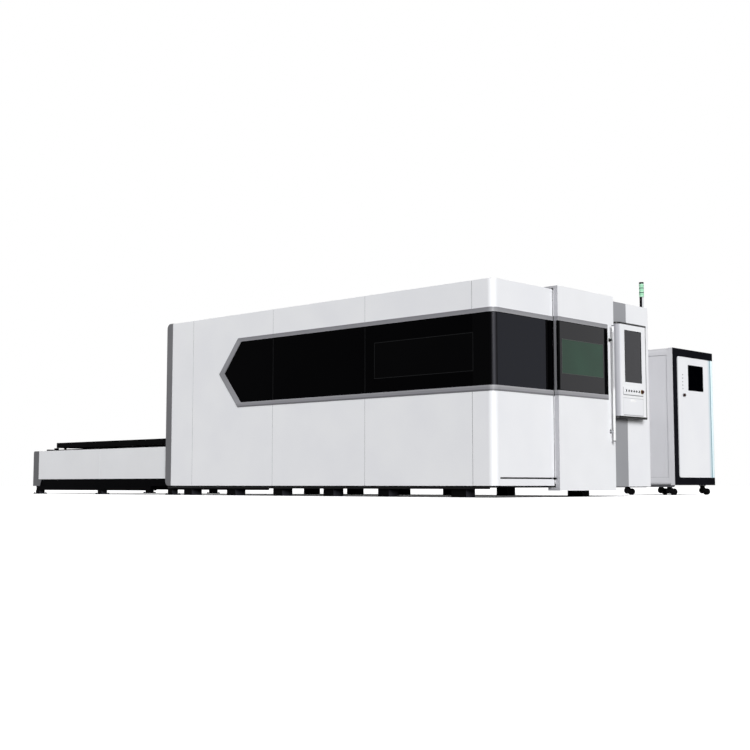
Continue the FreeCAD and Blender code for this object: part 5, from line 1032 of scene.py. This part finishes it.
# ---------------------------------------------------------------- laser source cabinet
def make_cabinet_dressing():
    face = CABINET_FACE
    strip = start_block("light_strip", face, face + 3.4, STRIP_MIDDLE, CABINET_RIGHT - 1.0,
                        STRIP_BOTTOM, STRIP_TOP)
    soften(strip, 1.5)
    complete(strip, "machine", strip_acrylic)
    edge = start_block("light_strip_edge", face, face + 3.0, STRIP_LEFT, STRIP_MIDDLE,
                       STRIP_BOTTOM, STRIP_TOP)
    soften(edge, 1.0, 1)
    complete(edge, "machine", strip_edge)

    lamps = []
    for z in (1345.0, 1389.0, 1433.0, 1478.0, 1522.0):
        lamp = start_rod("lamp", (face + 1.5, 4300.0, z), 8.0, 3.0, "x", 20)
        inset(lamp, "+x", (2.5, -1.5), (2.0, 1.0))
        soften(lamp, 0.4, 1)
        lamps.append(lamp)
    complete(join("lamp_collars", lamps), "machine", lamp_grey)

    plate = ring("cabinet_stop_plate", (face + 1.0, 4319.0, 1264.0), 24.0, BUTTON_HOLE, 2.0, "x", 36)
    soften(plate, 0.5, 1)
    complete(plate, "machine", stop_grey)

    side_panel = (-1007.0, -390.0, 226.0, 1757.0)
    complete(border("cabinet_side_seam", 4053.5, 4054.9, side_panel, (5.0,) * 4, "y"), "machine", seal_grey)

    runner = start_block("cabinet_side_runner", CABINET_REAR + 10.0, face - 8.0,
                         CABINET_LEFT + 6.0, CABINET_LEFT + 18.0, 100.0, CABINET_BOTTOM + 6.0)
    open_piece(runner, "EDGE")
    pick_edges(runner, lambda middle, run: middle.z < 102.0 and abs(run.y) > 0.9)
    bpy.ops.mesh.bevel(offset=mm(14.0), segments=1)
    close_piece()
    soften(runner, 1.0, 1)
    complete(runner, "machine", runner_coat)

    display = (4446.0, 4824.0, 1334.0, 1651.0)
    complete(border("display_gasket", face - 3.0, face + 0.8, display, (5.5,) * 4), "machine", display_glass)

    hood = start_block("cabinet_louvres", CABINET_REAR - 9.0, CABINET_REAR, 4250.0, 4880.0, 420.0, 430.0)
    shift(hood, lambda p: p.x < CABINET_REAR - 8.0 and p.z > 428.0, x=8.0, z=8.0)
    soften(hood, 1.2, 1)
    complete(row(hood, 14, 0.0, CABINET_LOUVRE_RISE), "machine", cabinet_coat)


# ---------------------------------------------------------------- casters
def cut_round(piece, centre, radius, length):
    """Take the room of a wheel out of a piece."""
    tool = start_rod("tool", centre, radius, length, "y", 40)
    cut = piece.modifiers.new("room", "BOOLEAN")
    cut.operation = "DIFFERENCE"
    cut.object = tool
    choose(piece)
    bpy.ops.object.modifier_apply(modifier=cut.name)
    bpy.data.objects.remove(tool)


def make_caster(number):
    """Twin-wheel caster: two wheels under one rounded hood on a swivel plate."""
    low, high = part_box("caster_wheel_%d" % number)
    axle = in_mm((Vector(low) + Vector(high)) / 2.0)
    fork_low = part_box("caster_fork_%d" % number)[0]
    stem_x = in_mm(Vector(fork_low)).x + CASTER_STEM_INSET

    wheels = []
    for side in (-CASTER_WHEEL_OFFSET, CASTER_WHEEL_OFFSET):
        wheel = start_rod("wheel", (axle.x, axle.y + side, axle.z), *CASTER_WHEEL, "y", 40)
        inset(wheel, "y", (9.0, 0.0), (2.0, -2.5), (18.0, 0.0), (1.5, 2.0))
        soften(wheel, 1.6)
        wheels.append(wheel)
    pair = join("caster_twin_wheel_%d" % number, wheels)
    complete(pair, "wheel_%d" % number, tyre_rubber)
    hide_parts("caster_wheel_%d" % number)

    hood = start_rod("hood", (stem_x + 4.0, axle.y, CASTER_HOOD_Z), *CASTER_HOOD, "y", 40)
    soften(hood, 6.0, 3)
    cut_round(hood, axle, *CASTER_ROOM)
    neck = start_rod("neck", (stem_x, axle.y, CASTER_NECK_Z), *CASTER_NECK, "z", 32)
    inset(neck, "+z", (2.0, 0.0))
    soften(neck, 2.0)
    plate = start_rod("plate", (stem_x, axle.y, CASTER_PLATE_Z), *CASTER_PLATE, "z", 40)
    inset(plate, "-z", (8.0, 1.5))
    soften(plate, 1.0, 1)
    pin = start_rod("pin", axle, *CASTER_PIN, "y", 24)
    inset(pin, "y", (1.5, 0.5))
    arms = []
    for side in (-CASTER_ARM_OFFSET, CASTER_ARM_OFFSET):
        y = axle.y + side
        arm = start_block("arm", stem_x, axle.x + 9.0, y - CASTER_ARM, y + CASTER_ARM, 30.0, 94.0)
        shift(arm, lambda p: p.x > axle.x and p.z > 60.0, z=-42.0)
        shift(arm, lambda p: p.x < stem_x + 5.0 and p.z < 60.0, z=6.0)
        soften(arm, 2.0)
        arms.append(arm)
    caster = join("caster_hood_%d" % number, [hood, neck, plate, pin] + arms)
    complete(caster, "swivel_%d" % number, fork_plastic)
    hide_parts("caster_fork_%d" % number)


make_door_dressing()
make_handle()
make_housing_dressing()
make_console_dressing()
make_tower_cover()
make_cabinet_dressing()
for number in (1, 2, 3, 4):
    make_caster(number)


# ---------------------------------------------------------------- light, floor and camera
def make_world():
    """Plain white room: white to the eye and in reflections, a low even fill on everything else."""
    world = bpy.data.worlds.new("studio")
    bpy.context.scene.world = world
    world.use_nodes = True
    world.node_tree.nodes.clear()
    path = add_node(world, "LightPath").outputs
    seen = add_node(world, "Math", {0: path["Is Camera Ray"], 1: path["Is Glossy Ray"]}, operation="MAXIMUM")
    seen = add_node(world, "Math", {0: seen, 1: path["Is Transmission Ray"]}, operation="MAXIMUM")
    strength = add_node(world, "MapRange", {"Value": seen, "To Min": FILL_STRENGTH, "To Max": 1.0})
    light = add_node(world, "Background", {"Color": (1.0, 1.0, 1.0, 1.0), "Strength": strength})
    add_node(world, "OutputWorld", {"Surface": light})


def make_sun(name, strength, softness, azimuth, elevation):
    """A soft lamp far away, at an azimuth from the end wall's normal and a height above the floor."""
    data = bpy.data.lights.new(name, "SUN")
    data.energy = strength
    data.angle = math.radians(softness)
    lamp = bpy.data.objects.new(name, data)
    bpy.context.scene.collection.objects.link(lamp)
    turn = math.radians(azimuth)
    rise = math.radians(elevation)
    towards = Vector((math.cos(turn) * math.cos(rise), -math.sin(turn) * math.cos(rise), math.sin(rise)))
    lamp.rotation_mode = "QUATERNION"
    lamp.rotation_quaternion = (-towards).to_track_quat("-Z", "Y")


def make_floor():
    """Pale studio floor, white to the eye in the open, with a painted contact shadow from ambient
    occlusion that darkens it close under the machine.
    """
    material, place = start_material("studio_floor")
    tone = drifting_tone(material, place, 2500.0, "F2F2F3", "F6F6F7", (0.3, 0.7))
    path = add_node(material, "LightPath").outputs
    dull = add_node(material, "Mix", {
        "Factor": path["Is Camera Ray"], 6: srgb("70706F"), 7: tone}, data_type="RGBA")
    # painted contact shadow: ambient occlusion darkens both the floor's colour and its glow
    open_sky = add_node(material, "AmbientOcclusion", {"Distance": FLOOR_SHADE_REACH}, samples=8)
    clear = add_node(material, "MapRange", {
        "Value": open_sky.outputs["AO"], "From Min": FLOOR_SHADE_FROM, "From Max": FLOOR_SHADE_TO})
    contact = add_node(material, "Mix", {"Factor": 1.0, 6: dull, 7: clear},
                       data_type="RGBA", blend_type="MULTIPLY")
    paint = add_node(material, "BsdfDiffuse", {"Color": contact})
    seen = add_node(material, "Math", {
        0: path["Is Camera Ray"], 1: path["Is Glossy Ray"]}, operation="MAXIMUM")
    lift = add_node(material, "Math", {0: seen, 1: FLOOR_LIFT}, operation="MULTIPLY")
    shaded = add_node(material, "Math", {0: lift, 1: clear}, operation="MULTIPLY")
    glow = add_node(material, "Emission", {"Strength": shaded})
    both = add_node(material, "AddShader", {0: paint, 1: glow})
    add_node(material, "OutputMaterial", {"Surface": both})
    bpy.ops.object.select_all(action="DESELECT")
    bpy.ops.mesh.primitive_plane_add(size=FLOOR_SIZE, location=(0.0, 0.0, 0.0))
    floor = bpy.context.active_object
    floor.name = "floor"
    dress(floor, material)


def make_camera():
    scene = bpy.context.scene
    scene.view_settings.view_transform = "Standard"
    data = bpy.data.cameras.new("camera")
    data.sensor_width = 36.0
    data.lens = CAMERA_LENS
    data.clip_start = 0.1
    data.clip_end = 300.0
    camera = bpy.data.objects.new("camera", data)
    camera.location = CAMERA_PLACE
    camera.rotation_euler = (math.radians(CAMERA_TILT), 0.0, math.radians(CAMERA_TURN))
    scene.collection.objects.link(camera)
    scene.camera = camera


make_world()
make_sun("key", 3.55, 25.0, 38.5, 18.0)
make_sun("back", 2.5, 30.0, 218.5, 20.0)
make_floor()
make_camera()
